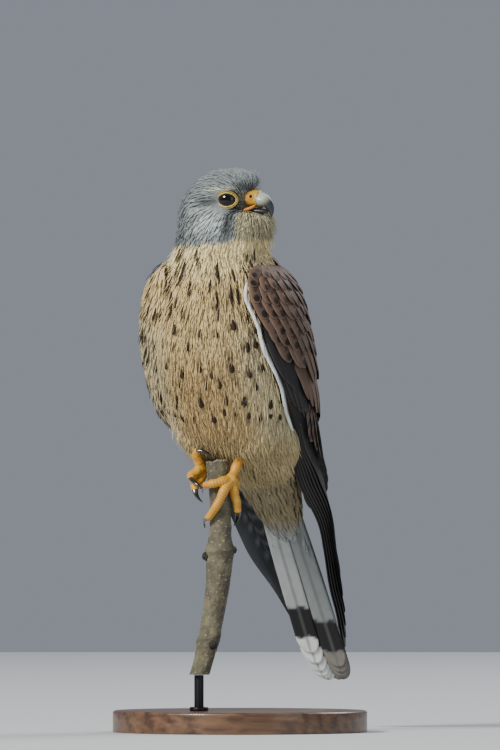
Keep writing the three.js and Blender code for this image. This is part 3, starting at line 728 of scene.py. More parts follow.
class Paint:
    """A material with one node-making method."""

    def __init__(self, name):
        self.material = bpy.data.materials.new(name)
        self.material.use_nodes = True
        self.tree = self.material.node_tree
        self.shader = self.tree.nodes["Principled BSDF"]

    def node(self, kind, settings, inputs, output=0):
        node = self.tree.nodes.new(kind)
        for key, value in settings.items():
            setattr(node, key, value)
        self.join(node, inputs)
        return Value(self, node.outputs[output])

    def join(self, node, inputs):
        for key, value in inputs.items():
            if isinstance(value, Value):
                self.tree.links.new(value.socket, node.inputs[key])
            else:
                node.inputs[key].default_value = value

    def noise(self, where, scale, detail=2.0):
        return self.node("ShaderNodeTexNoise", {}, {"Vector": where, "Scale": scale, "Detail": detail})

    def place(self, x, y, z):
        return self.node("ShaderNodeCombineXYZ", {}, {0: x, 1: y, 2: z})

    def scaled(self, colour, factor):
        return self.node("ShaderNodeVectorMath", {"operation": "SCALE"}, {0: colour, "Scale": factor})

    def between(self, start, end, value, a, b):
        """A colour from a to b as the value goes from start to end."""
        weight = self.node("ShaderNodeMapRange", {}, {"Value": value, "From Min": start, "From Max": end})
        return self.node("ShaderNodeMix", {"data_type": "RGBA"}, {0: weight, 6: a, 7: b}, 2)

    def bump(self, height, strength, distance):
        inputs = {"Height": height, "Strength": strength, "Distance": distance}
        return self.node("ShaderNodeBump", {}, inputs)

    def tint(self):
        return self.node("ShaderNodeAttribute", {"attribute_name": "tint"}, {})

    def objects(self):
        return self.node("ShaderNodeTexCoord", {}, {}, "Object")

    def finish(self, **sockets):
        self.join(self.shader, {key.replace("_", " "): value for key, value in sockets.items()})
        return self.material


def feather_paint(name, roughness, streak):
    """Feathers: the tint of each point, with fine streaks that run out along the barbs."""
    paint = Paint(name)
    vane = paint.node("ShaderNodeUVMap", {"uv_map": "Vane"}, {})
    along, across = vane.part("Y"), vane.part("X")
    barbs = along - across.maths("ABSOLUTE") * 1.3
    lines = paint.noise(paint.place(barbs * 90, across * 12, 0.0), 1.0)
    colour = paint.scaled(paint.tint(), lines * (2 * streak) + (1 - streak))
    relief = paint.bump(lines, 0.35, 0.0002)
    return paint.finish(Base_Color=colour, Roughness=roughness, Specular_IOR_Level=0.28, Normal=relief)


def under_paint():
    paint = Paint("feather_bed")
    fuzz = paint.noise(paint.objects(), 900.0)
    return paint.finish(Base_Color=paint.scaled(paint.tint(), fuzz * 0.8 + 0.4), Roughness=0.95)


def bare_paint():
    paint = Paint("bare_skin")
    grain = paint.noise(paint.objects(), 1400.0, 4.0)
    return paint.finish(
        Base_Color=paint.scaled(paint.tint(), grain * 0.5 + 0.75),
        Roughness=grain * 0.3 + 0.3,
        Normal=paint.bump(grain, 0.4, 0.0002),
    )


def horn_paint(name, roughness, coat):
    paint = Paint(name)
    grain = paint.noise(paint.objects(), 700.0, 3.0)
    return paint.finish(
        Base_Color=paint.scaled(paint.tint(), grain * 0.5 + 0.75),
        Roughness=roughness,
        Coat_Weight=coat,
        Normal=paint.bump(grain, 0.15, 0.0001),
    )


def eye_paint():
    paint = Paint("wet_eye")
    return paint.finish(Base_Color=paint.tint(), Roughness=0.05, Specular_IOR_Level=0.3, Coat_Weight=0.25)


def bark_paint():
    paint = Paint("stick_bark")
    where = paint.objects()
    grain = paint.noise(where, 900.0, 5.0)
    x, y, z = (where.part(axis) for axis in "XYZ")
    long_grain = paint.noise(paint.place(x * 900, y * 900, z * 120), 1.0, 4.0)
    return paint.finish(
        Base_Color=paint.scaled(paint.tint(), grain * 0.7 + long_grain * 0.7 + 0.3),
        Roughness=0.85,
        Normal=paint.bump(grain + long_grain, 0.5, 0.0003),
    )


def metal_paint():
    paint = Paint("dark_metal")
    brushed = paint.noise(paint.objects(), 1500.0)
    return paint.finish(Base_Color=(0.03, 0.03, 0.032, 1), Metallic=1.0, Roughness=brushed * 0.2 + 0.3)


def wood_paint():
    paint = Paint("stained_wood")
    where = paint.objects()
    wavy = paint.noise(where, 12.0)
    x, y, z = (where.part(axis) for axis in "XYZ")
    grain = paint.noise(paint.place(x * 14 + wavy * 1.2, y * 260 + wavy * 9, z * 260), 1.0, 5.0)
    colour = paint.between(0.35, 0.65, grain, (0.055, 0.026, 0.013, 1), (0.15, 0.078, 0.04, 1))
    relief = paint.bump(grain, 0.1, 0.0002)
    return paint.finish(Base_Color=colour, Roughness=grain * 0.2 + 0.3, Coat_Weight=0.25, Normal=relief)


hood_paint = feather_paint("hood_feathers", 0.75, 0.3)
breast_paint = feather_paint("breast_feathers", 0.8, 0.14)
wing_paint = feather_paint("wing_feathers", 0.62, 0.25)
tail_paint = feather_paint("tail_feathers", 0.6, 0.16)
bed_paint = under_paint()
skin_paint = bare_paint()
bill_paint = horn_paint("bill_horn", 0.4, 0.15)
claw_paint = horn_paint("claw_horn", 0.16, 0.8)


# Markings of the plumage at points near the body's surface
def body_colour(points):
    """Breast, belly and flanks with their dark marks, the back and both faces of the tail."""
    u, v, z = to_body(points)
    along, _, above = to_tail(points)
    belly = ramp(z, 222, 185)
    middle = patch(v / 20) * (u < 20)
    colour = blend(BUFF, WARM, belly * middle * 0.75)
    colour = blend(colour, FLANK, ramp(np.abs(v), 16, 30) * ramp(z, 240, 210))
    colour = blend(colour, CREAM, ramp(z, 240, 258))
    # The vent's buff, with painted shade under the belly
    colour = blend(colour, VENT_BUFF_AND_SHADE, ramp(z, 168, 152))
    patches = noise(points * np.array([1, 1, 0.5]), 9, 3)
    colour = colour * (1 + 0.16 * patches)[..., None]
    round_body = np.arctan2(v, BODY_MIDDLE - u) * BODY_ROUND
    streaks = marks(round_body, z, **STREAKS) * ramp(z, 222, 228) * ramp(z, 266, 262)
    drops = marks(round_body, z, **DROPS) * ramp(z, 226, 222) * ramp(z, 166, 172) * (u < MARKS_BACK)
    colour = blend(colour, MARK, np.maximum(streaks, drops) * 0.6)
    behind = ramp(set_back(u, z), 14, 24) * ramp(above, -6, 3)
    colour = blend(colour, RUFOUS, behind)
    below = ramp(above, 2, -2)
    tail = ramp(along, -8, 6)
    colour = blend(colour, GREY, tail * (1 - below))
    # The undertail's buff with painted shade, turning to the tail's own underside colour
    colour = blend(colour, blend(UNDERTAIL_BUFF_AND_SHADE, TAIL_UNDER, ramp(along, 34, 58)), tail * below)
    return colour


def hood_colour(points):
    """Grey hood with paler cheeks and chin, a dark line through the eye and a dark moustache."""
    f, s, h = to_head(points)
    wide = np.abs(s)
    cheek = patch((f - 3) / 11, (h + 11) / 6.5) * ramp(wide, 8, 14)
    ear = patch((f + 4) / 9, (h + 3.5) / 3) * ramp(wide, 8, 14)
    lores = ramp(f, 13, 15.5) * ramp(h, -4, -1) * ramp(h, 8, 5)
    brow = patch((h - 8.2 - 0.1 * (f - 8)) / 1.3) * ramp(f, -4, 3) * ramp(f, 18, 13) * ramp(wide, 8, 11)
    eye_line = patch((h - 1.2 - 0.16 * (f - 4)) / 2.0) * ramp(f, -9, -1) * ramp(f, 8, 5) * ramp(wide, 9, 12)
    before_eye = patch((f - 17.3) / 1.5, (h - 0.6) / 2.6)
    moustache = patch((f - 14.6 - 0.14 * (h + 10)) / 2.4) * ramp(h, -1.5, -5) * ramp(h, -21, -15)
    moustache = moustache * ramp(wide, 6, 9)
    hood = blend(GREY, CHEEK, cheek)
    hood = blend(hood, CHEEK, ear * 0.55)
    hood = blend(hood, CHIN, ramp(f, 16.5, 20.5) * ramp(h, -2.5, -5))
    hood = blend(hood, LORES, lores * 0.8)
    hood = blend(hood, BROW_PALE, brow * 0.85)
    hood = blend(hood, GREY_DARK, np.maximum(np.maximum(eye_line * 0.9, before_eye * 0.8), moustache * 0.85))
    # Painted shade: the grey of the nape is darkened towards the back of the head
    nape_painted_shade = mix(0.68, 1, ramp(f, -16, -5))
    return hood * (nape_painted_shade * (1 + 0.14 * noise(points, 3.2, 5)))[..., None]


def plumage(points):
    """The feathers' colour at points near the body's surface."""
    f, _, h = to_head(points)
    edge = h + 22.5 - 0.12 * f + 1.6 * noise(points, 4, 6)
    return blend(body_colour(points), hood_colour(points), ramp(edge, -1.2, 1.6))


# The body under the feathers: head, neck, torso, thighs and the root of the tail in one skin
SKIN_SPANS = {"body": (131.3, 299.5, 84), "head": (258, 309.7, 48), "core": (-24, 51, 48)}
SKIN_INSET = {"body": 2.0, "head": 1.1}


def body_rings():
    heights = np.linspace(*SKIN_SPANS["body"])[:, None]
    u, half, deep = np.moveaxis(body_slice(heights), -1, 0)
    t = turns(96)
    return body_point(u + deep * np.cos(t), half * np.sin(t), heights)


def head_rings():
    heights = np.linspace(*SKIN_SPANS["head"])[:, None]
    middle, long, half, power, narrow = np.moveaxis(head_slice(heights), -1, 0)
    t = turns(96)
    front = np.maximum(0, np.cos(t))
    return head_point(
        middle + long * bent(np.cos(t), power),
        half * bent(np.sin(t), power) * (1 - narrow * front**1.5),
        heights - HEAD_PLACE[2],
    )


def core_rings():
    along = np.linspace(*SKIN_SPANS["core"])[:, None]
    half, above, below = np.moveaxis(core_slice(along), -1, 0)
    t = turns(64)
    return tail_point(along, half * np.cos(t), np.where(np.sin(t) > 0, above, below) * np.sin(t) - 2)


def brow_rings(side):
    t = np.linspace(-0.98, 0.98, 24)
    line = head_point(BROW["f"] + BROW["long"] * t, side * (BROW["s"] - 2.2 * t), BROW["h"] - 0.9 * t)
    return tube_rings(line, BROW["thick"] * np.sqrt(1 - t**2), 20, UP)


def thigh_rings(side):
    rows = [[*body_point(u, side * v, z), r] for u, v, z, r in THIGH]
    line, _ = along_curve(rows, 40)
    return tube_rings(line[:, :3], line[:, 3], 40, BACKWARD)


def muzzle(points):
    """Draws the head in round the root of the bill."""
    f, s, h = to_head(points)
    here = ramp(h, -6, -3) * ramp(h, 13, 8)
    drawn = np.where(f > 14, 14 + (f - 14) * 0.42, f)
    narrower = s * (1 - 0.3 * here * ramp(f, 11, 17))
    return head_point(mix(f, drawn, here), narrower, h)


under_feathers = [body_rings(), head_rings(), core_rings()]
under_feathers += [rings_of(side) for rings_of in (brow_rings, thigh_rings) for side in SIDES]
skin = fused("skin_body", under_feathers, SKIN_GRAIN, rounds=3)
skin_places = coords(skin)
inset = mix(SKIN_INSET["body"], SKIN_INSET["head"], ramp(skin_places[:, 2], 262, 284))
skin_places = muzzle(skin_places - normals(skin) * inset[:, None])
set_coords(skin, relax(skin, skin_places, 2))
skin_places = coords(skin)
skin_normals = normals(skin)
# The skin under the feathers takes the plumage's colour darkened, as painted shade in the gaps between
# feathers
colour_points(skin, plumage(skin_places) * 0.8)
SKIN_NODES = ("head", "neck", "torso", "thigh_left", "thigh_right")
body_skin = piece("skin_body", skin, bed_paint, "breast", *SKIN_NODES)


def unfolded(made):
    """Lays a piece out on its baking map, and gives a place there for each of its points."""
    bpy.ops.object.select_all(action="DESELECT")
    made.select_set(True)
    bpy.context.view_layer.objects.active = made
    bpy.ops.object.mode_set(mode="EDIT")
    bpy.ops.mesh.select_all(action="SELECT")
    bpy.ops.uv.smart_project(angle_limit=math.radians(66), island_margin=0.003)
    bpy.ops.object.mode_set(mode="OBJECT")
    mesh = made.data
    layer = mesh.uv_layers[0]
    layer.name = "OFBake"
    corner = np.zeros(len(mesh.loops), np.int32)
    mesh.loops.foreach_get("vertex_index", corner)
    corner_uv = np.zeros(len(mesh.loops) * 2)
    mesh.uv_layers["OFBake"].data.foreach_get("uv", corner_uv)
    places = np.zeros((len(mesh.vertices), 2))
    places[corner] = corner_uv.reshape(-1, 2)
    return places


skin_uv = unfolded(body_skin)
skin_tree = tree_of(skin_places)


def on_skin(points):
    """The nearest places on the skin, its normals there and the nearest of its points."""
    near = np.array([skin_tree.find(p)[1] for p in points])
    normal = skin_normals[near]
    off = ((points - skin_places[near]) * normal).sum(-1, keepdims=True)
    return points - normal * off, normal, near


def lie(points, normal):
    """The way the feathers lie: back from the bill on the head, down the body, then along the tail."""
    f, _, h = to_head(points)
    from_bill = points - head_point(*BILL_BASE)
    from_bill = unit(from_bill) + UP * (-0.5 * ramp(h, 2, -8) - 1.3 * ramp(f, -4, -20))[:, None]
    u, _, z = to_body(points)
    down = -UP + BACKWARD * 0.1
    tailward = ramp(z - 0.35 * (u - 20), 178, 150)
    body = mix(down, np.broadcast_to(TAILWARD, points.shape), tailward[:, None])
    way = mix(body, unit(from_bill), ramp(h, -30, -20)[:, None])
    return unit(way - normal * (way * normal).sum(-1, keepdims=True))


def march(roots, lengths, stations, swing):
    """Lines over the skin from each root along the lie, with the skin's normal at each station."""
    point = roots
    line, normal_line, ways, nearest = [], [], [], None
    for i, t in enumerate(stations):
        if i:
            point = point + way * (lengths * (t - stations[i - 1]))[:, None]
        found, facing, near = on_skin(point)
        off_end = (to_tail(point)[0] > TAIL_CORE[-1][0] - CORE_END)[:, None] & (i > 0)
        point = np.where(off_end, point, found)
        normal = facing if i == 0 else np.where(off_end, normal, facing)
        nearest = near if nearest is None else nearest
        way = lie(point, normal)
        way = way * np.cos(swing)[:, None] + np.cross(normal, way) * np.sin(swing)[:, None]
        line.append(point)
        normal_line.append(normal)
        ways.append(way)
    return [np.stack(a, 1) for a in (line, normal_line, ways)], nearest


def in_eye(points):
    """True where a point lies on the bare patch round an eye."""
    inside = np.zeros(points.shape[:-1], bool)
    for side in SIDES:
        middle, out, front, up = eye_axes(side)
        off = points - middle
        wide, high = off @ front / EYE_ROOM[0], off @ up / EYE_ROOM[1]
        inside |= (wide**2 + high**2 < 1) & (off @ out > 0)
    return inside


def in_bill(points):
    """True where a point lies on the cere or in the mouth."""
    f, s, h = to_head(points)
    cere = (f > 17.2) & ((s / 5.2) ** 2 + ((h - 2.6) / 4.9) ** 2 < 1)
    mouth = (f > 15.5) & (np.abs(s) < 5) & (np.abs(h + 2.6) < 3)
    return cere | mouth


def under_wing(points):
    """True well inside the part of the body that a folded wing hides."""
    u, v, z = to_body(points)
    middle, _, _, first, last = np.moveaxis(wing_slice(z), -1, 0)
    turn = np.degrees(np.arctan2(np.abs(v), middle - u))
    return (z > 158) & (z < 246) & (turn > first + 9) & (turn < last - 12)


triangles = np.array([(p.vertices[0], p.vertices[1], p.vertices[2]) for p in skin.polygons])
spread = np.cross(
    skin_places[triangles[:, 1]] - skin_places[triangles[:, 0]],
    skin_places[triangles[:, 2]] - skin_places[triangles[:, 0]],
)
triangle_size = np.linalg.norm(spread, axis=1)


def scatter(tries, size, where):
    """Roots spread evenly over part of the skin; size is the room each one takes, or gives it for points."""
    pick = rng.choice(len(triangles), tries, p=triangle_size / triangle_size.sum())
    a, b = rng.random((2, tries, 1))
    corner = skin_places[triangles[pick]]
    points = corner[:, 0] + (corner[:, 1] - corner[:, 0]) * a + (corner[:, 2] - corner[:, 0]) * b
    points = points[where(points)]
    room = np.broadcast_to(size(points) if callable(size) else size, len(points))
    taken = {}
    kept = []
    cell = room.max()
    keys = np.floor(points / cell).astype(int)
    for number, (point, own, key) in enumerate(zip(points, room, keys)):
        near = (
            other
            for dx in (-1, 0, 1)
            for dy in (-1, 0, 1)
            for dz in (-1, 0, 1)
            for other in taken.get((key[0] + dx, key[1] + dy, key[2] + dz), ())
        )
        if all(((point - points[other]) ** 2).sum() > own * own for other in near):
            taken.setdefault(tuple(key), []).append(number)
            kept.append(number)
    return points[kept]


# Small body feathers
TUFT_STEPS = np.array([0, 0.3, 0.6, 0.84, 1])
TUFT_FORMS = {
    "tuft": (TUFT_STEPS, np.array([0.4, 0.9, 1, 0.66, 0.1])),
    "drop": (TUFT_STEPS, np.array([0.3, 0.62, 1, 0.95, 0.35])),
    "hair": (np.array([0, 0.35, 0.7, 1]), np.array([0.7, 1, 0.8, 0.15])),
}
LOOSE = (0.11, 0.08)  # how far feathers swing and roll in the coat
NEAT = (0.04, 0.03)  # and where they are dark marks on it
UV_PATCH = 0.003  # side of each small feather's place on the baking map


def feather_piece(name, batches, paint, slot, nodes):
    """One piece of closed feathers. Each batch: rings, colours, places on the vane and on the baking map."""
    points, faces, colours, vane_places, bake_places = [], [], [], [], []
    start = 0
    for rings, *others in batches:
        outward(rings, *others)
        points.append(rings.reshape(-1, 3))
        faces += [face + start for face in tube_faces(*rings.shape[:3])]
        start += len(points[-1])
        for kept, values in zip((colours, vane_places, bake_places), others):
            kept.append(values.reshape(-1, values.shape[-1]))
    mesh = mesh_of(name, np.concatenate(points), faces)
    colour_points(mesh, np.concatenate(colours))
    uv_points(mesh, "OFBake", np.concatenate(bake_places))
    uv_points(mesh, "Vane", np.concatenate(vane_places))
    piece(name, mesh, paint, slot, *nodes)


def tufts(name, roots, sizes, paint, slot, nodes, form="tuft", colour=None, lines=None, root=-0.3):
    """Closed, thin vanes that follow the skin, or the lines given. Sizes: length, width and lift of each."""
    steps, widths = TUFT_FORMS[form]
    hair = form == "hair"
    length, width, lift = (np.broadcast_to(size, len(roots)) for size in sizes)
    swing_share, roll_share = LOOSE if colour is None else NEAT
    swing = rng.normal(0, swing_share, len(roots))
    (line, normal, way), near = lines or march(roots, length, steps, swing)
    clear = ~(in_eye(line + normal * 0.8).any(axis=1) | in_bill(line).any(axis=1))
    line, normal, way, near = (a[clear] for a in (line, normal, way, near))
    length, width, lift = (a[clear] for a in (length, width, lift))
    across = np.cross(way, normal)
    roll = rng.normal(0, roll_share, (len(line), 1, 1))
    upright = normal * np.cos(roll) + across * np.sin(roll)
    across = across * np.cos(roll) - normal * np.sin(roll)
    rise = root + (lift[:, None] - root) * steps**1.15
    middle = line + normal * rise[..., None]
    half = width[:, None] * widths / 2
    thick = 0.09 + 0.05 * widths
    left = middle - across * half[..., None]
    right = middle + across * half[..., None]
    top = middle + upright * (thick[:, None] + 0.12 * half[..., None])
    low = middle - upright * thick[:, None] * 0.6
    corners = [left, top, right] if hair else [left, top, right, low]
    rings = np.stack(corners, 2)
    side = np.array([-1, 0, 1] if hair else [-1, 0, 1, 0])
    ground = line[:, :, None] + across[:, :, None] * (half[:, :, None] * side)[..., None]
    tone = rng.normal(1, 0.1 if slot == "hood" else 0.065, (len(line), 1, 1))
    # Each tuft is painted darker at its root and lighter at its tip: painted shade and painted highlight;
    # the edge term makes its sides a little paler
    tone = np.clip(tone, 0.6, 1.5) * (0.92 + 0.12 * steps)[None, :, None] * (1 + 0.08 * (np.abs(side) - 0.5))
    colour = (plumage(ground) if colour is None else np.array(colour)) * tone[..., None]
    flat = np.broadcast_to(side, rings.shape[:3])
    reach = np.broadcast_to((length[:, None] * steps)[..., None], rings.shape[:3])
    vane = np.stack([flat * half[..., None] * MM, reach * MM + rng.random((len(line), 1, 1))], -1)
    patch = np.stack([flat * 0.5, np.broadcast_to(steps[None, :, None] - 0.5, rings.shape[:3])], -1)
    bake = skin_uv[near][:, None, None] * (1 - UV_PATCH) + UV_PATCH / 2 + patch * UV_PATCH
    feather_piece(name, [(rings, colour, vane, bake)], paint, slot, nodes)


def jitter(count, share):
    return np.clip(rng.normal(1, share, count), 0.6, 1.5)


def line_of(pair, value):
    """A number and a share of a value."""
    return pair[0] + pair[1] * value


def head_length(points):
    """Length of the head's feathers, shortest round the bill."""
    return line_of(HEAD_LENGTH, np.linalg.norm(points - head_point(*BILL_BASE), axis=1))


def on_head(points):
    return to_head(points)[2] > HOOD_FOOT


def on_front(points):
    """True where the feathers of breast, belly and flanks stand."""
    u, _, z = to_body(points)
    along, _, _ = to_tail(points)
    return (z <= NECK_TOP) & (along < 10) & (set_back(u, z) < 22) & ~under_wing(points)


def on_back(points):
    """True where the mantle's feathers stand."""
    u, _, z = to_body(points)
    along, _, above = to_tail(points)
    return (z < NECK_TOP) & (set_back(u, z) > 13) & (along < 4) & (above > -2) & ~under_wing(points)


def on_tail(points):
    along, _, _ = to_tail(points)
    return (along > -4) & (along < TAIL_CORE[-1][0] - CORE_END)


roots = scatter(HEAD_TRIES, lambda points: line_of(HEAD_ROOM, head_length(points)), on_head)
length = head_length(roots) * jitter(len(roots), 0.14)
half_count = len(roots) // 2
head_sizes = (length, line_of(HEAD_WIDTH, length), line_of(HEAD_LIFT, length) * jitter(len(roots), 0.2))
for part, keep in (("front", slice(None, half_count)), ("back", slice(half_count, None))):
    sizes = [size[keep] for size in head_sizes]
    tufts(f"coat_head_{part}", roots[keep], sizes, hood_paint, "hood", ["head", "neck"])

coat = COATS["breast"]
roots = scatter(*coat["roots"], on_front)
_, _, height = to_body(roots)
length = mix(*coat["length"], ramp(height, 190, 262)) * jitter(len(roots), 0.16)
length = length * mix(HEM["longer"], 1, ramp(height, 156, 172))
width = mix(*coat["width"], ramp(height, 190, 250)) * jitter(len(roots), 0.16)
lift = mix(*coat["lift"], ramp(height, 160, 200)) * jitter(len(roots), 0.2)
lift = lift + HEM["lift"] * ramp(height, 158, 150) * ramp(height, 142, 148)
third = len(roots) // 3
for part, keep in (("a", slice(0, third)), ("b", slice(third, 2 * third)), ("c", slice(2 * third, None))):
    tufts(
        f"coat_breast_{part}", roots[keep], (length[keep], width[keep], lift[keep]), breast_paint, "breast",
        ["torso", "neck", "thigh_left", "thigh_right"],
    )

# Dark feather middles that lie on top of the breast: narrow streaks above, drops below
def mark_roots(kind, low, high):
    """Upper ends of the marks between two heights, on the skin, with their sizes."""
    columns, rows = np.meshgrid(np.arange(-17, 17), np.arange(10, 32))
    a, b, size, chance = mark_at(columns.ravel(), rows.ravel(), kind["step"], kind["seed"])
    shown = (chance < kind["keep"]) & (b > low) & (b < high)
    a, b, size = a[shown] / BODY_ROUND, b[shown], size[shown]
    top = b + kind["half"][1] * size
    points, _, _ = on_skin(body_point(BODY_MIDDLE - BODY_ROUND * np.cos(a), BODY_ROUND * np.sin(a), top))
    here = on_front(points) & (to_body(points)[0] < MARKS_BACK)
    return points[here], size[here]


for name, kind, low, high, form, height in (
    ("coat_streaks", STREAKS, 226, 263, "tuft", 2.4),
    ("coat_drops", DROPS, 168, 226, "drop", 2.3),
):
    roots, size = mark_roots(kind, low, high)
    sizes = (2 * kind["half"][1] * size, 2 * kind["half"][0] * size, height)
    tufts(name, roots, sizes, breast_paint, "breast", ["torso"], form, MARK, root=1.2)

# Tail coverts, over and under the root of the tail
coat = COATS["tail"]
roots = scatter(*coat["roots"], on_tail)
along, _, _ = to_tail(roots)
length = mix(*coat["length"], ramp(along, 0, 40)) * jitter(len(roots), 0.12)
width = mix(*coat["width"], ramp(along, 0, 40))
lift = mix(*coat["lift"], ramp(along, 10, 50)) * jitter(len(roots), 0.15)
tufts("coat_tail", roots, (length, width, lift), breast_paint, "breast", ["tail", "torso"])

# Loose hair-fine ends: over the body, whiskers on chin and cheeks, bristles round the bill
coat = COATS["wisps"]
roots = scatter(*coat["roots"], lambda points: on_front(points) | on_head(points))
_, _, height = to_body(roots)
length = mix(*coat["length"], ramp(height, 240, 285)) * jitter(len(roots), 0.2)
width = mix(*coat["width"], ramp(height, 240, 285))
lift = length * 0.34 * jitter(len(roots), 0.3)
tufts("coat_wisps", roots, (length, width, lift), breast_paint, "breast", ["torso", "head", "neck"], "hair")


def whisker_place(points):
    f, s, h = to_head(points)
    chin = (f > 12) & (h < -5) & (h > -20)
    forehead = (f > 15) & (h > 3) & (h < 12) & (np.abs(s) < 9)
    return chin | forehead


coat = COATS["whiskers"]
roots = scatter(*coat["roots"], whisker_place)
length = coat["length"] * jitter(len(roots), 0.25)
lift = length * 0.46 * jitter(len(roots), 0.4)
tufts("coat_whiskers", roots, (length, coat["width"], lift), hood_paint, "hood", ["head"], "hair")


# Large feathers
ACROSS = np.array([-1, -0.8, -0.5, -0.22, -0.07, 0.07, 0.22, 0.5, 0.8, 1])
BLADE = np.array([0, 6, 14, 24, 34, 44, 53, 61, 68, 74, 79, 84, 88, 92, 95.5, 98, 100]) / 100
SHAFT_REACH = 0.1
SHAFT_RISE = 0.16


def long_steps(count):
    """Stations along a long feather, closer near its tip."""
    return 1 - (1 - np.linspace(0, 1, count)) ** 1.35


def outline(steps, tip_share, point):
    """Half width along a feather, from a narrow root to a rounded tip."""
    root = mix(0.55, 1, ramp(steps, 0, 0.3))
    end = np.clip((steps - (1 - tip_share)) / tip_share, 0, 1)
    return root * np.maximum(1 - end**point, 0.004) ** 0.5


def vane_colour(kind, from_tip, place, under, half, seed):
    """Colour over a feather: kind, distance from its tip, place across it, and which face it is."""
    lateral = np.abs(place) * half
    if kind in ("covert", "mantle"):
        base = blend(RUFOUS, RUFOUS_PALE, 0.5 * ramp(np.abs(place), 0.55, 1))
        wide_spot = 1.3 + 0.9 * lattice(seed, 1.0, 2.0)
        spot = ramp(np.hypot(lateral / wide_spot, (from_tip - 3.1) / 2.3), 1.15, 0.75)
        inner = ramp(np.hypot(lateral / 1.2, (from_tip - 8.2) / 1.4), 1.1, 0.75) * 0.8
        keep = lattice(seed, 3.0, 1.0) < 0.93
        base = blend(base, SPOT, np.maximum(spot * keep, inner))
        return blend(base, RUFOUS_PALE, ramp(from_tip, 0.9, 0.2) * 0.5)
    if kind == "secondary":
        base = blend(np.array(RUFOUS) * 0.85, RUFOUS_PALE, 0.35 * ramp(np.abs(place), 0.7, 1))
        bar = ramp(np.abs((from_tip + lateral * 0.8 - 6) % 9.5 - 4.7), 2.0, 1.2) * ramp(place, 0.75, 0.1)
        base = blend(base, SPOT, bar)
        base = blend(base, WHITE, ramp(from_tip, 2.2, 0.8) * 0.55)
        return blend(base, QUILL_UNDER, under * 0.8)
    if kind in ("primary", "dark"):
        base = blend(QUILL, QUILL_EDGE, ramp(np.abs(place), 0.72, 0.96))
        notch = ramp(np.abs(from_tip % 11 - 5.5), 2.4, 1.6) * ramp(place, 0.25, 0.75)
        notch = notch * ramp(from_tip, 34, 44)
        base = blend(base, QUILL_UNDER, under * 0.75)
        return blend(base, WHITE, notch * 0.3) if kind == "primary" else base
    if kind == "edge":
        return blend(WHITE, QUILL_EDGE, ramp(place, 0.55, 0.9))
    # Tail feathers: those on the bird's left are painted darker and given grey-brown tips in place of white,
    # as painted shade
    in_shade = kind == "shade_painted_tail"
    base = blend(TAIL_GREY, TAIL_UNDER, under) * (0.62 if in_shade else 1)
    wave = 0.9 * np.sin(place * 4 + seed)
    base = blend(base, BAND, ramp(from_tip + wave, TAIL_TIP + TAIL_BAND + 0.8, TAIL_TIP + TAIL_BAND - 0.8))
    base = blend(base, SHADED_TAIL_TIP if in_shade else WHITE, ramp(from_tip + wave, TAIL_TIP + 0.7, TAIL_TIP - 0.7))
    base = blend(base, QUILL_EDGE, ramp(from_tip, 1.4, 0.2) * 0.4)
    return blend(base, QUILL_UNDER, ramp(np.abs(np.abs(place) - 0.07), 0.05, 0.0) * 0.5)


def vane_batch(group, grid, cell, start):
    """Feathers of one group, each in its own cell of a square baking map of so many cells a side."""
    line, wide, upright, half = group["line"], group["wide"], group["upright"], group["half"]
    steps, length, thick = group["steps"], group["length"], group["thick"]
    count = len(line)
    shaft = np.where(np.abs(ACROSS) < SHAFT_REACH, SHAFT_RISE, 0)
    fade = np.clip(1 - steps, 0.02, 1)[None, :, None]
    body = thick / 2 * (1 - 0.7 * np.abs(ACROSS)) + shaft * fade * thick
    arch = group["camber"] * (1 - ACROSS**2) * half[..., None]
    flat = line[:, :, None] + wide[:, :, None] * (half[..., None] * ACROSS)[..., None]
    upper = flat + upright[:, :, None] * (arch + body)[..., None]
    lower = flat + upright[:, :, None] * (arch - body)[..., None]
    rings = np.concatenate([upper, lower[:, :, ::-1]], 2)
    place = np.concatenate([ACROSS, ACROSS[::-1]])
    under = np.repeat([0.0, 1.0], len(ACROSS))
    along = (length[:, None] * steps)[..., None]
    seed = np.arange(count)[:, None, None] * 1.7 + start % 97
    colour = vane_colour(group["kind"], length[:, None, None] - along, place, under, half[..., None], seed)
    tone = rng.normal(1, 0.07, (count, 1, 1, 1)) * (1 + 0.08 * noise(rings, 2.2, 9))[..., None]
    reach = along * MM + rng.random((count, 1, 1))
    vane = np.stack(np.broadcast_arrays(place * half[..., None] * MM, reach), -1)
    number = cell + np.arange(count)
    corner = np.stack([number % grid, number // grid], -1)[:, None, None] / grid
    # The upper face takes one half of the cell and the lower face the other
    in_cell = ((place + 1) * 0.22 + 0.03 + under * 0.5, steps[None, :, None] * 0.94 + 0.03)
    inside = np.stack(np.broadcast_arrays(*in_cell), -1)
    bake = corner + np.broadcast_to(inside, vane.shape) / grid
    return rings, colour * tone, vane, bake


def vanes(name, paint, slot, nodes, groups):
    """One piece of large feathers. Each group: kind, middle lines, ways across and upright, half widths,
    stations, length, thickness and camber."""
    grid = math.ceil(math.sqrt(sum(len(group["line"]) for group in groups)))
    batches = []
    start = cell = 0
    for group in groups:
        batches.append(vane_batch(group, grid, cell, start))
        start += batches[-1][0].size // 3
        cell += len(group["line"])
    feather_piece(name, batches, paint, slot, nodes)


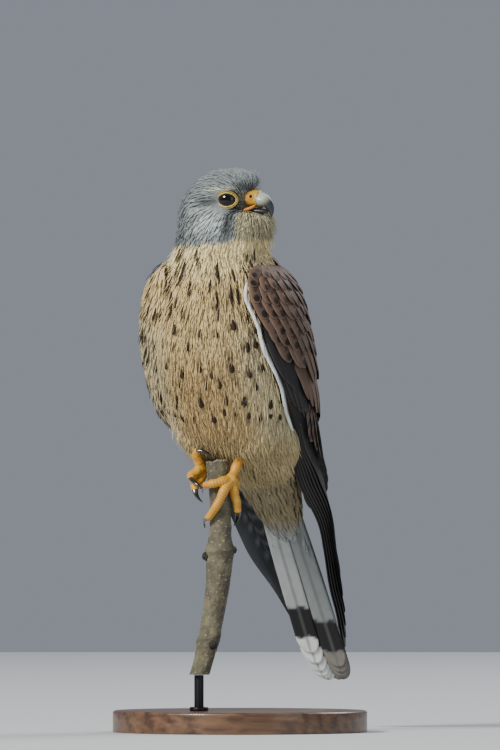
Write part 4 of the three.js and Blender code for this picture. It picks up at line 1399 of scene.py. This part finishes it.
def wing_row(side, row):
    """The feathers of one row of a wing, each from its root out over the row below."""
    count, root, tip, lifts, widths, tilt, kind = row
    long = kind in LONG_KINDS
    steps = long_steps(60) if long else BLADE
    k = np.linspace(0, 1, count)[:, None]
    wobble = rng.normal(0, WOBBLE_ACROSS.get(kind, 0), (count, 1))
    droop = rng.normal(0, WOBBLE_DOWN.get(kind, 0), (count, 1))
    turn, fall = (PRIMARY_TURN, PRIMARY_FALL) if kind == "primary" else (1, 1)
    hidden = COVERED[side] if kind != "primary" else 0

    def middle_at(t, aside=0):
        z = mix(mix(root[0], root[2], k), mix(tip[0], tip[2], k**fall) + droop, t)
        across = mix(mix(root[1], root[3], k), mix(tip[1], tip[3], k), t**turn) + wobble
        lift = mix(mix(lifts[0], lifts[1], k), mix(lifts[2], lifts[3], k), np.sqrt(t))
        return wing_point(side, z, mix(hidden, 1, across) + aside, lift)

    t = steps[None, :]
    line = middle_at(t)
    ahead = unit(middle_at(np.minimum(t + 0.03, 1)) - middle_at(np.maximum(t - 0.03, 0)))
    out = unit(np.cross(ahead, middle_at(t, 0.01) - line) * side)
    lean = np.radians(tilt) * np.minimum(1, t * 2)[..., None]
    wide = unit(np.cross(out, ahead) * side)
    wide, out = wide * np.cos(lean) - out * np.sin(lean), out * np.cos(lean) + wide * np.sin(lean)
    reach = np.linalg.norm(np.diff(line, axis=1), axis=2).sum(axis=1)
    tip_share, point = (0.16, 2.4) if long else (0.42, 2.2)
    half = mix(widths[0], widths[1], k) / 2 * outline(steps, tip_share, point)
    return {
        "kind": kind, "line": line, "wide": wide, "upright": out, "half": half, "steps": steps,
        "length": reach, "thick": 0.34, "camber": 0.08 if long else 0.16,
    }


def wing_bed(side):
    """The wing's body under its feathers."""
    heights = np.linspace(WING_BED["foot"], WING_BED["top"], WING_BED["slices"])[:, None]
    shoulder = np.minimum(1, (WING_BED["top"] - heights) / 16 + 0.15)
    hem = np.minimum(1, (heights - WING_BED["foot"]) / 30 + 0.3)
    across = np.linspace(COVERED[side] + 0.05, 0.97, WING_BED["across"])[None]
    swell = np.sin(math.pi * (across - COVERED[side]) / (1 - COVERED[side])) ** 0.6 * shoulder * hem
    depth = WING_BED["edge"] + (WING_BED["thick"] - WING_BED["edge"]) * swell
    outer = wing_point(side, heights, across, WING_BED["skin"])
    inner = wing_point(side, heights, across, WING_BED["skin"] - depth)
    mesh = loft_mesh(f"wing_bed_{SIDE_NAME[side]}", np.concatenate([outer, inner[:, ::-1]], 1))
    heights = coords(mesh)[:, 2]
    # Rufous at half brightness as painted shade under the coverts, turning to the quills' black lower down
    colour_points(mesh, blend(np.array(RUFOUS) * 0.5, QUILL, ramp(heights, 185, 170)))
    return mesh


# Flank feathers that lie over the front of the right wing
def flank_lines(count, length, start, end):
    """Lines down over the front of the right wing, further back at its top."""
    height = rng.uniform(166, 259, (count, 1))
    reach = mix(end, 0.42, ramp(height, 234, 250))
    across = mix(start, reach, rng.random((count, 1)))
    height = height - TUFT_STEPS * length

    def place(q):
        return wing_point(RIGHT, height, q + 0 * height, 0.5 - 14 * ramp(-q, 0.0, 0.16))

    line = place(across)
    way = unit(np.gradient(line, axis=1))
    normal = unit(np.cross(way, place(across + 0.01) - line) * RIGHT)
    return (line, normal, way), on_skin(line[:, 0])[2]


for name, count, length, wide, start, end, colour, root in (
    ("coat_flank", 1900, 11.5, 1.9, -0.17, 0.2, None, -0.3),
    ("coat_flank_marks", 64, 6.5, 1.4, -0.06, 0.16, MARK, 1.4),
):
    lines = flank_lines(count, length, start, end)
    sizes = (length, wide * jitter(count, 0.16), 1.7 * jitter(count, 0.25) + (colour is not None))
    starts = lines[0][0][:, 0]
    tufts(name, starts, sizes, breast_paint, "breast", ["torso", "wing_right"], "tuft", colour, lines, root)

for side in SIDES:
    node = f"wing_{SIDE_NAME[side]}"
    piece(f"wing_bed_{SIDE_NAME[side]}", wing_bed(side), bed_paint, "wing", node)
    groups = [wing_row(side, row) for row in WING_ROWS]
    vanes(f"coat_{node}", wing_paint, "wing", [node], groups)

# Mantle and scapulars on the back, laid over the wings' inner edges
MANTLE_STEPS = np.array([0, 0.2, 0.42, 0.62, 0.78, 0.88, 0.95, 1])
coat = COATS["mantle"]
roots = scatter(*coat["roots"], on_back)
roots = roots[np.argsort(roots[:, 2])]
length = coat["length"] * jitter(len(roots), 0.08)
(line, normal, way), _ = march(roots, length, MANTLE_STEPS, rng.normal(0, 0.07, len(roots)))
lift = (0.2 + 3.4 * MANTLE_STEPS)[None] * jitter(len(roots), 0.12)[:, None]
mantle = {
    "kind": "mantle", "line": line + normal * lift[..., None],
    "wide": np.cross(way, normal), "upright": normal,
    "half": np.broadcast_to(coat["width"] / 2 * outline(MANTLE_STEPS, 0.45, 2.2), line.shape[:2]),
    "steps": MANTLE_STEPS, "length": length, "thick": 0.3, "camber": 0.14,
}
vanes("coat_mantle", wing_paint, "wing", ["torso"], [mantle])


# Tail feathers
def tail_group(side):
    """One side's tail feathers; the right side's lie under the left side's along the middle."""
    steps = long_steps(70)
    lines, lengths = [], []
    for pair in range(TAIL_PAIRS):
        reach = TAIL_LENGTH - TAIL_SHORTER[pair] * TAIL_SHORT_SHARE[side]
        above = TAIL_RAISED[side] - TAIL_VANE["step"] * pair
        out = TAIL_OUT[side] + pair * TAIL_VANE["spread"] * steps if pair else TAIL_MIDDLE + 0 * steps
        lines.append(tail_point(mix(-6, reach, steps), side * out, above + 0 * steps))
        lengths.append(reach + 6)
    line = np.stack(lines)
    across = tail_point(0, 1, 0) - tail_point(0, 0, 0)
    upright = tail_point(0, 0, 1) - tail_point(0, 0, 0)
    half = TAIL_VANE["width"] / 2 * mix(0.7, 1, ramp(steps, 0, 0.6)) * outline(steps, 0.075, 2.2)
    return {
        "kind": TAIL_KIND[side], "line": line, "wide": np.broadcast_to(across, line.shape),
        "upright": np.broadcast_to(upright, line.shape),
        "half": np.broadcast_to(half, line.shape[:2]),
        "steps": steps, "length": np.array(lengths), "thick": 0.36, "camber": 0.03,
    }


vanes("coat_tail_feathers", tail_paint, "tail", ["tail"], [tail_group(side) for side in SIDES])


# Face
def face_rings(rows, sides, count, peak=0.0):
    """Rings round a line in the head's middle plane; peak narrows their upper half."""
    line, _ = along_curve(rows, count)
    ahead = unit(np.gradient(line[:, :2], axis=0))
    t = turns(sides)
    rise = line[:, 3:4] * np.sin(t)
    across = line[:, 2:3] * np.cos(t) * (1 - peak * np.clip(np.sin(t), 0, 1))
    return head_point(line[:, 0:1] - ahead[:, 1:2] * rise, across, line[:, 1:2] + ahead[:, 0:1] * rise)


def cere_mesh():
    """The bare skin over the bill's root, with a rimmed nostril and the small knob in it on each side."""
    rings = face_rings(CERE, 128, 64)
    f, s, h = to_head(rings)
    centre = rings.mean(axis=1, keepdims=True)
    out = unit(rings - centre)
    far = np.hypot(f - NOSTRIL["f"], h - NOSTRIL["h"]) + np.where(np.abs(s) < 2.5, 9, 0)
    rim = 0.45 * np.exp(-(((far - NOSTRIL["radius"] - 0.35) / 0.5) ** 2))
    hole = -NOSTRIL["deep"] * ramp(far, NOSTRIL["radius"] + 0.1, NOSTRIL["radius"] - 0.5)
    knob = 0.9 * ramp(far, 0.42, 0.2)
    rings = rings + out * (rim + hole + knob + 0.12 * noise(rings, 1.4, 2))[..., None]
    mesh = loft_mesh("cere_skin", rings)
    places = coords(mesh)
    f, s, h = to_head(places)
    far = np.hypot(f - NOSTRIL["f"], h - NOSTRIL["h"])
    colour = blend(np.array(YELLOW) * 0.8, ORANGE, ramp(f, 21, 18) * 0.6)
    # The inside of each nostril takes painted shade, near black
    inside = ramp(far, NOSTRIL["radius"] + 0.15, NOSTRIL["radius"] - 0.35)
    colour_points(mesh, blend(colour, NOSTRIL_SHADE, inside))
    return mesh


def bill_half(part, rows, sides, count, peak, dark_from):
    """Upper or lower half of the bill, darker towards its tip."""
    name = f"bill_{part}_horn"
    mesh = loft_mesh(name, face_rings(rows, sides, count, peak))
    places = coords(mesh)
    f, _, h = to_head(places)
    dark = ramp(f - 0.9 * h + 0.5 * noise(places, 1.5, 4), dark_from, dark_from + 7)
    colour_points(mesh, blend(BILL_PALE, BILL_DARK, dark))
    piece(name, mesh, bill_paint, "bill", f"bill_{part}")


def lid_mesh(side, ring, name, colour):
    """A rim round the eye, drawn out to a corner behind."""
    middle, out, front, up = eye_axes(side)
    t = turns(96)
    back = np.clip(-np.cos(t), 0, 1)
    wide = ring["wide"] * np.cos(t) - ring["corner"] * back**6
    high = ring["high"] * np.sin(t) * (1 - 0.25 * back**2)
    reach = np.sqrt(np.maximum(ring["shell"] ** 2 - wide**2 - high**2, 1.2))
    line = middle + np.outer(wide, front) + np.outer(high, up) + np.outer(reach, out)
    inward = unit(line - (middle + out * reach.mean()))
    loop = unit(np.roll(line, -1, 0) - np.roll(line, 1, 0))
    away = unit(np.cross(loop, inward))
    section = turns(12)
    thick = ring["thick"] * (1 + 0.18 * np.sin(t * 17) * np.sin(t * 5))
    rings = line[:, None] + thick[:, None, None] * (
        inward[:, None] * 1.25 * np.cos(section)[:, None] + away[:, None] * np.sin(section)[:, None]
    )
    count, sides = rings.shape[:2]
    a = np.arange(count)[:, None] * sides + np.arange(sides)
    b = np.arange(count)[:, None] * sides + (np.arange(sides) + 1) % sides
    faces = np.stack([a, b, np.roll(b, -1, 0), np.roll(a, -1, 0)], -1).reshape(-1, 4)
    spin = np.cross(rings[0, 1] - rings[0, 0], loop[0]) @ (rings[0, 0] - line[0])
    faces = faces if spin > 0 else faces[:, ::-1]
    mesh = mesh_of(name, rings.reshape(-1, 3), [faces])
    colour_points(mesh, colour)
    return mesh


def eye_mesh(side):
    """A wet ball with a black pupil in a dark brown iris."""
    middle, out, front, up = eye_axes(side)
    t = np.linspace(0.02, math.pi - 0.02, 48)[:, None]
    around = turns(64)
    ball = np.cos(t)[..., None] * out + np.sin(t)[..., None] * (
        np.cos(around)[:, None] * front + np.sin(around)[:, None] * up
    )
    mesh = loft_mesh(f"eye_ball_{SIDE_NAME[side]}", middle + ball * EYE["radius"])
    off = (coords(mesh) - middle) @ out / EYE["radius"]
    colour_points(mesh, blend(IRIS, PUPIL, ramp(off, 0.86, 0.9)))
    return mesh


piece("cere_skin", cere_mesh(), skin_paint, "skin", "cere")
bill_half("upper", UPPER_BILL, 64, 70, 0.3, 23.5)
bill_half("lower", LOWER_BILL, 48, 40, 0.0, 17.0)
wet_eye = eye_paint()
for side in SIDES:
    name = SIDE_NAME[side]
    piece(f"eye_ball_{name}", eye_mesh(side), wet_eye, "eye", f"eye_{name}")
    for rim, ring, colour in (("eye_lid", LID, LID_GOLD), ("eye_fold", FOLD, FOLD_BROWN)):
        part = f"{rim}_{name}"
        piece(part, lid_mesh(side, ring, part, colour), skin_paint, "skin", "head")
    rows = [[*head_point(f, side * s, h)] for f, s, h in GAPE]
    line, _ = along_curve(rows, 40)
    swell = 0.95 * np.sin(np.linspace(0.35, math.pi - 0.35, 40))
    gape = loft_mesh(f"gape_{name}", tube_rings(line, swell, 20, UP))
    colour_points(gape, ORANGE)
    piece(f"gape_{name}", gape, skin_paint, "skin", "cere")


# Feet
def from_stick(points):
    """The way out from the stick's middle line."""
    x = stick_slice(points[..., 2])[..., 0]
    return unit(np.stack([points[..., 0] - x, points[..., 1] - STICK_Y, 0 * x], -1) + 1e-6)


def scaled_tube(rows, start, end, pads, sides=28):
    """A toe or shank from one radius to another: scales across its top, pads below and a rounded end."""
    _, reach = along_curve(rows, 8)
    count = int(reach / FOOT_GRAIN)
    line, _ = along_curve(rows, count)
    t = np.linspace(0, 1, count)
    up = from_stick(line) + UP * 0.15
    place = turns(sides)
    on_top = np.clip(np.cos(place), 0, 1) ** 0.6
    below = np.clip(-np.cos(place), 0, 1)
    groove = np.abs((t * reach / SCUTE) % 1 - 0.5) * 2
    cut = ramp(groove, 0.55, 1.0)[:, None] * on_top
    knuckle = 1 + 0.07 * np.cos(t * math.pi * 6)
    swell = np.abs(np.sin(t * math.pi * pads))[:, None] * below * 0.6 * (pads > 0)
    radii = (mix(start, end, t) * knuckle)[:, None] - SCUTE_DEEP * cut + swell
    from_end = reach * (1 - t)
    radii = radii * np.sqrt(np.clip(1 - (1 - from_end / end).clip(0, 1) ** 2, 0.01, 1))[:, None]
    return tube_rings(line, radii, sides, up), cut


def foot_mesh(side):
    """Shank, ball and toes in one skin, with painted shade in the grooves between the scales."""
    foot = FEET[side]
    ankle, ball = np.array(foot["ankle"], float), np.array(foot["ball"], float)
    shank = scaled_tube([ankle, mix(ankle, ball, 0.5), ball], SHANK, SHANK, 0)
    toes = [scaled_tube([ball, *line], TOE_ROOT, TOE_END, 3) for line, _, _ in foot["toes"].values()]
    around = np.linspace(0.05, math.pi - 0.05, 20)
    pad = ball + np.stack([0 * around, 0 * around, np.cos(around) * (TOE_ROOT + 0.6)], -1)
    tubes = [shank, *toes]
    mesh = fused(
        f"foot_{SIDE_NAME[side]}_skin",
        [*(rings for rings, _ in tubes), tube_rings(pad, np.sin(around) * (TOE_ROOT + 0.6), 24, BACKWARD)],
        FOOT_GRAIN,
        rounds=1,
    )
    places = coords(mesh)
    sources = np.concatenate([rings.reshape(-1, 3) for rings, _ in tubes])
    depth = np.concatenate([cut.reshape(-1) for _, cut in tubes])
    tree = tree_of(sources)
    depth = depth[[tree.find(p)[1] for p in places]]
    base = blend(YELLOW, ORANGE, 0.35 + 0.3 * noise(places, 3, 8))
    # Painted shade: the deeper a point lies in a groove between scales, the darker it is
    colour_points(mesh, blend(base, SCUTE_GROOVE_SHADE, depth * 0.75))
    return mesh


def claw_mesh(name, line, bend, tip):
    """A claw from inside the end of its toe, over its bend to its tip."""
    t = np.linspace(0, 1, 40)[:, None]
    root = np.array(line[-1], float)
    inner = unit(root - np.array(line[-2], float)) * -1.2
    curve = (root + inner) * (1 - t) ** 2 + 2 * np.array(bend) * t * (1 - t) + np.array(tip) * t**2
    radii = CLAW_ROOT * (1 - t[:, 0]) ** 0.75 + 0.06
    mesh = loft_mesh(name, tube_rings(curve, radii, 24, from_stick(curve), 0.86))
    places = coords(mesh)
    near = ramp(np.linalg.norm(places - root, axis=1), 2.4, 0.9)
    colour_points(mesh, blend(CLAW_BLACK, CLAW_PALE, near))
    return mesh


for side in SIDES:
    name = SIDE_NAME[side]
    piece(f"foot_{name}_skin", foot_mesh(side), skin_paint, "skin", f"foot_{name}")
    for toe, (line, bend, tip) in FEET[side]["toes"].items():
        horn = claw_mesh(f"claw_{toe}_{name}_horn", line, bend, tip)
        piece(f"claw_{toe}_{name}_horn", horn, claw_paint, "claw", f"claw_{toe}_{name}")


# Stick
def stick_mesh():
    """The cut stick: bark with pores and leaf scars, and a split, paler cut at each end."""
    foot, top = STICK[0][0], STICK[-1][0]
    heights = np.concatenate([np.full(5, foot), np.linspace(foot, top - 0.4, 300), np.full(9, top)])
    inner = np.concatenate([np.linspace(0.02, 0.96, 5), np.ones(300), np.linspace(0.97, 0.02, 9)])[:, None]
    t = turns(96)
    x, radius = np.moveaxis(stick_slice(heights), -1, 0)[..., None]
    height = heights[:, None]
    place = np.stack(np.broadcast_arrays(np.sin(t) * 6, -np.cos(t) * 6, height), -1)
    flat_place = place * inner[..., None]
    rough = 1 + 0.03 * np.sin(3 * t + height * 0.11) + 0.02 * np.cos(5 * t - height * 0.07)
    wrinkle = 0.22 * noise(place * np.array([1, 1, 0.35]), 1.6, 1) + 0.14 * noise(place, 0.8, 2)
    pores = marks(t * 6, height + 0 * t, **PORES)
    scars = [(height - at - swing * np.sin(t + turn)) / wide for at, swing, turn, wide in SCARS]
    scar = sum(0.25 * patch(away) for away in scars)
    reach = (radius * rough + wrinkle + pores * 0.16 + scar) * inner
    end = ramp(height, top - 1.5, top - 0.1)
    splinter = 1.1 * noise(flat_place * np.array([1, 1, 0]), 1.3, 4) + 0.9 * np.sin(t + 0.6)
    z = height + end * splinter * mix(1, 0.75, inner)
    rings = np.stack([x + reach * np.sin(t), STICK_Y - reach * np.cos(t), z], -1)
    blotch = ramp(noise(place, 5, 6) + 0.5 * noise(place, 1.5, 7), -0.5, 0.7)
    colour = blend(BARK_DARK, BARK, blotch * 0.7 + 0.3)
    colour = blend(colour, LICHEN, ramp(noise(place, 7, 12), 0.1, 0.6) * 0.3)
    colour = blend(colour, PORE, pores * 0.6)
    colour = blend(colour, BARK_DARK, np.clip(scar * 2.4, 0, 0.8))
    cut = np.maximum(end, ramp(-height, -foot - 0.6, -foot - 0.05)) * (inner < 0.99)
    colour = blend(colour, WOOD_CUT, cut * (0.6 + 0.4 * noise(flat_place, 0.9, 5)))
    return loft_mesh("perch_stick_bark", rings, colour)


def bud_mesh(number, z, angle, radius, out):
    """A small scaly bud that stands out from the stick."""
    t = np.linspace(0.04, math.pi - 0.04, 40)
    turn = math.radians(angle)
    away = np.array([math.sin(turn), -math.cos(turn), 0.35])
    middle = np.array([stick_slice(z)[0], STICK_Y, z]) + np.array([math.sin(turn), -math.cos(turn), 0]) * out
    line = middle + np.outer(-np.cos(t) * radius, unit(away))
    scales = 1 + 0.1 * np.sin(t[:, None] * 9 + 2 * np.cos(2 * turns(32)))
    mesh = loft_mesh(f"bud_{number}", tube_rings(line, np.sin(t)[:, None] ** 0.8 * radius * scales, 32, UP))
    shade = 0.7 + 0.4 * noise(coords(mesh), 1.2, 3)
    colour_points(mesh, np.array(BARK_DARK) * 0.55 * shade[:, None])
    return mesh


bark = bark_paint()
piece("perch_stick_bark", stick_mesh(), bark, "bark", "perch_stick")
for number, bud in enumerate(BUDS):
    piece(f"bud_{number}", bud_mesh(number, *bud), bark, "bark", "perch_stick")


# Stand
def turned(profile, x, y, sides):
    """Rings of a turned shape from its profile of radius and height."""
    profile = np.array(profile, float)
    t = turns(sides)
    return np.stack(np.broadcast_arrays(
        x + profile[:, :1] * np.cos(t), y + profile[:, :1] * np.sin(t), profile[:, 1:]), -1)


def rounded_profile(radius, low, high, edge):
    """Profile of a disc or rod with a rounded upper edge and a slightly eased lower one."""
    quarter = np.linspace(0, math.pi / 2, 8)
    upper = [(radius - edge + edge * math.cos(a), high - edge + edge * math.sin(a)) for a in quarter]
    lower = [(radius - EASED + EASED * math.sin(a), low + EASED - EASED * math.cos(a)) for a in quarter]
    inner = [radius * share for share in (0.02, 0.3, 0.6, 0.9)]
    return [(r, low) for r in inner] + lower + upper + [(r, high) for r in inner[::-1]]


metal = metal_paint()
for name, form, sides, paint, slot, node in (
    ("stand_base_wood", BASE, 128, wood_paint(), "base", "stand_base"),
    ("stand_rod_metal", ROD, 48, metal, "rod", "stand_rod"),
    ("stand_collar", COLLAR, 64, metal, "rod", "stand_rod"),
):
    profile = rounded_profile(form["radius"], form["foot"], form["top"], form["round"])
    piece(name, loft_mesh(name, turned(profile, *form["at"], sides)), paint, slot, node)

# Floor, light and camera
FLOOR_REACH = 2.6
floor_mesh = bpy.data.meshes.new("floor")
floor_mesh.from_pydata(
    [(FLOOR_REACH * math.cos(a), FLOOR_REACH * math.sin(a), 0) for a in turns(96)], [], [tuple(range(96))]
)
floor = bpy.data.objects.new("floor", floor_mesh)
bpy.context.scene.collection.objects.link(floor)
pale = Paint("pale_floor")
floor_mesh.materials.append(pale.finish(Base_Color=(0.5, 0.52, 0.54, 1), Roughness=0.9))
floor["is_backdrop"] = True

AIM = Vector((0.0, 0.0, 0.18))
LIGHTS = [
    ("key", (-2.3, -2.4, 2.3), 1.0, 250, (1.0, 0.95, 0.86)),
    ("fill", (2.6, -2.6, 1.0), 1.8, 14, (0.86, 0.92, 1.0)),
    ("rim", (1.9, 1.7, 2.2), 1.2, 70, (0.95, 0.97, 1.0)),
]
for name, place, size, power, tone in LIGHTS:
    data = bpy.data.lights.new(name, "AREA")
    data.size = size
    data.energy = power
    data.color = tone
    light = bpy.data.objects.new(name, data)
    light.location = place
    light.rotation_euler = (AIM - light.location).to_track_quat("-Z", "Y").to_euler()
    bpy.context.scene.collection.objects.link(light)

world = bpy.data.worlds.new("studio")
world.use_nodes = True
world.node_tree.nodes["Background"].inputs["Color"].default_value = (0.8, 0.88, 1.0, 1)
world.node_tree.nodes["Background"].inputs["Strength"].default_value = 0.3
bpy.context.scene.world = world

VIEW_DISTANCE = 9.0
VIEW_HEIGHT = 0.4125  # what the picture's height spans at the bird
VIEW_MIDDLE = (0.0055, 0.1964)
SENSOR = 36
camera_data = bpy.data.cameras.new("camera")
camera_data.sensor_width = SENSOR
camera_data.lens = SENSOR * VIEW_DISTANCE / VIEW_HEIGHT
camera_data.clip_end = 60
camera = bpy.data.objects.new("camera", camera_data)
camera.location = (VIEW_MIDDLE[0], -VIEW_DISTANCE, VIEW_MIDDLE[1])
camera.rotation_euler = (math.pi / 2, 0, 0)
bpy.context.scene.collection.objects.link(camera)
bpy.context.scene.camera = camera

bpy.context.view_layer.update()
low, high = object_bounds()
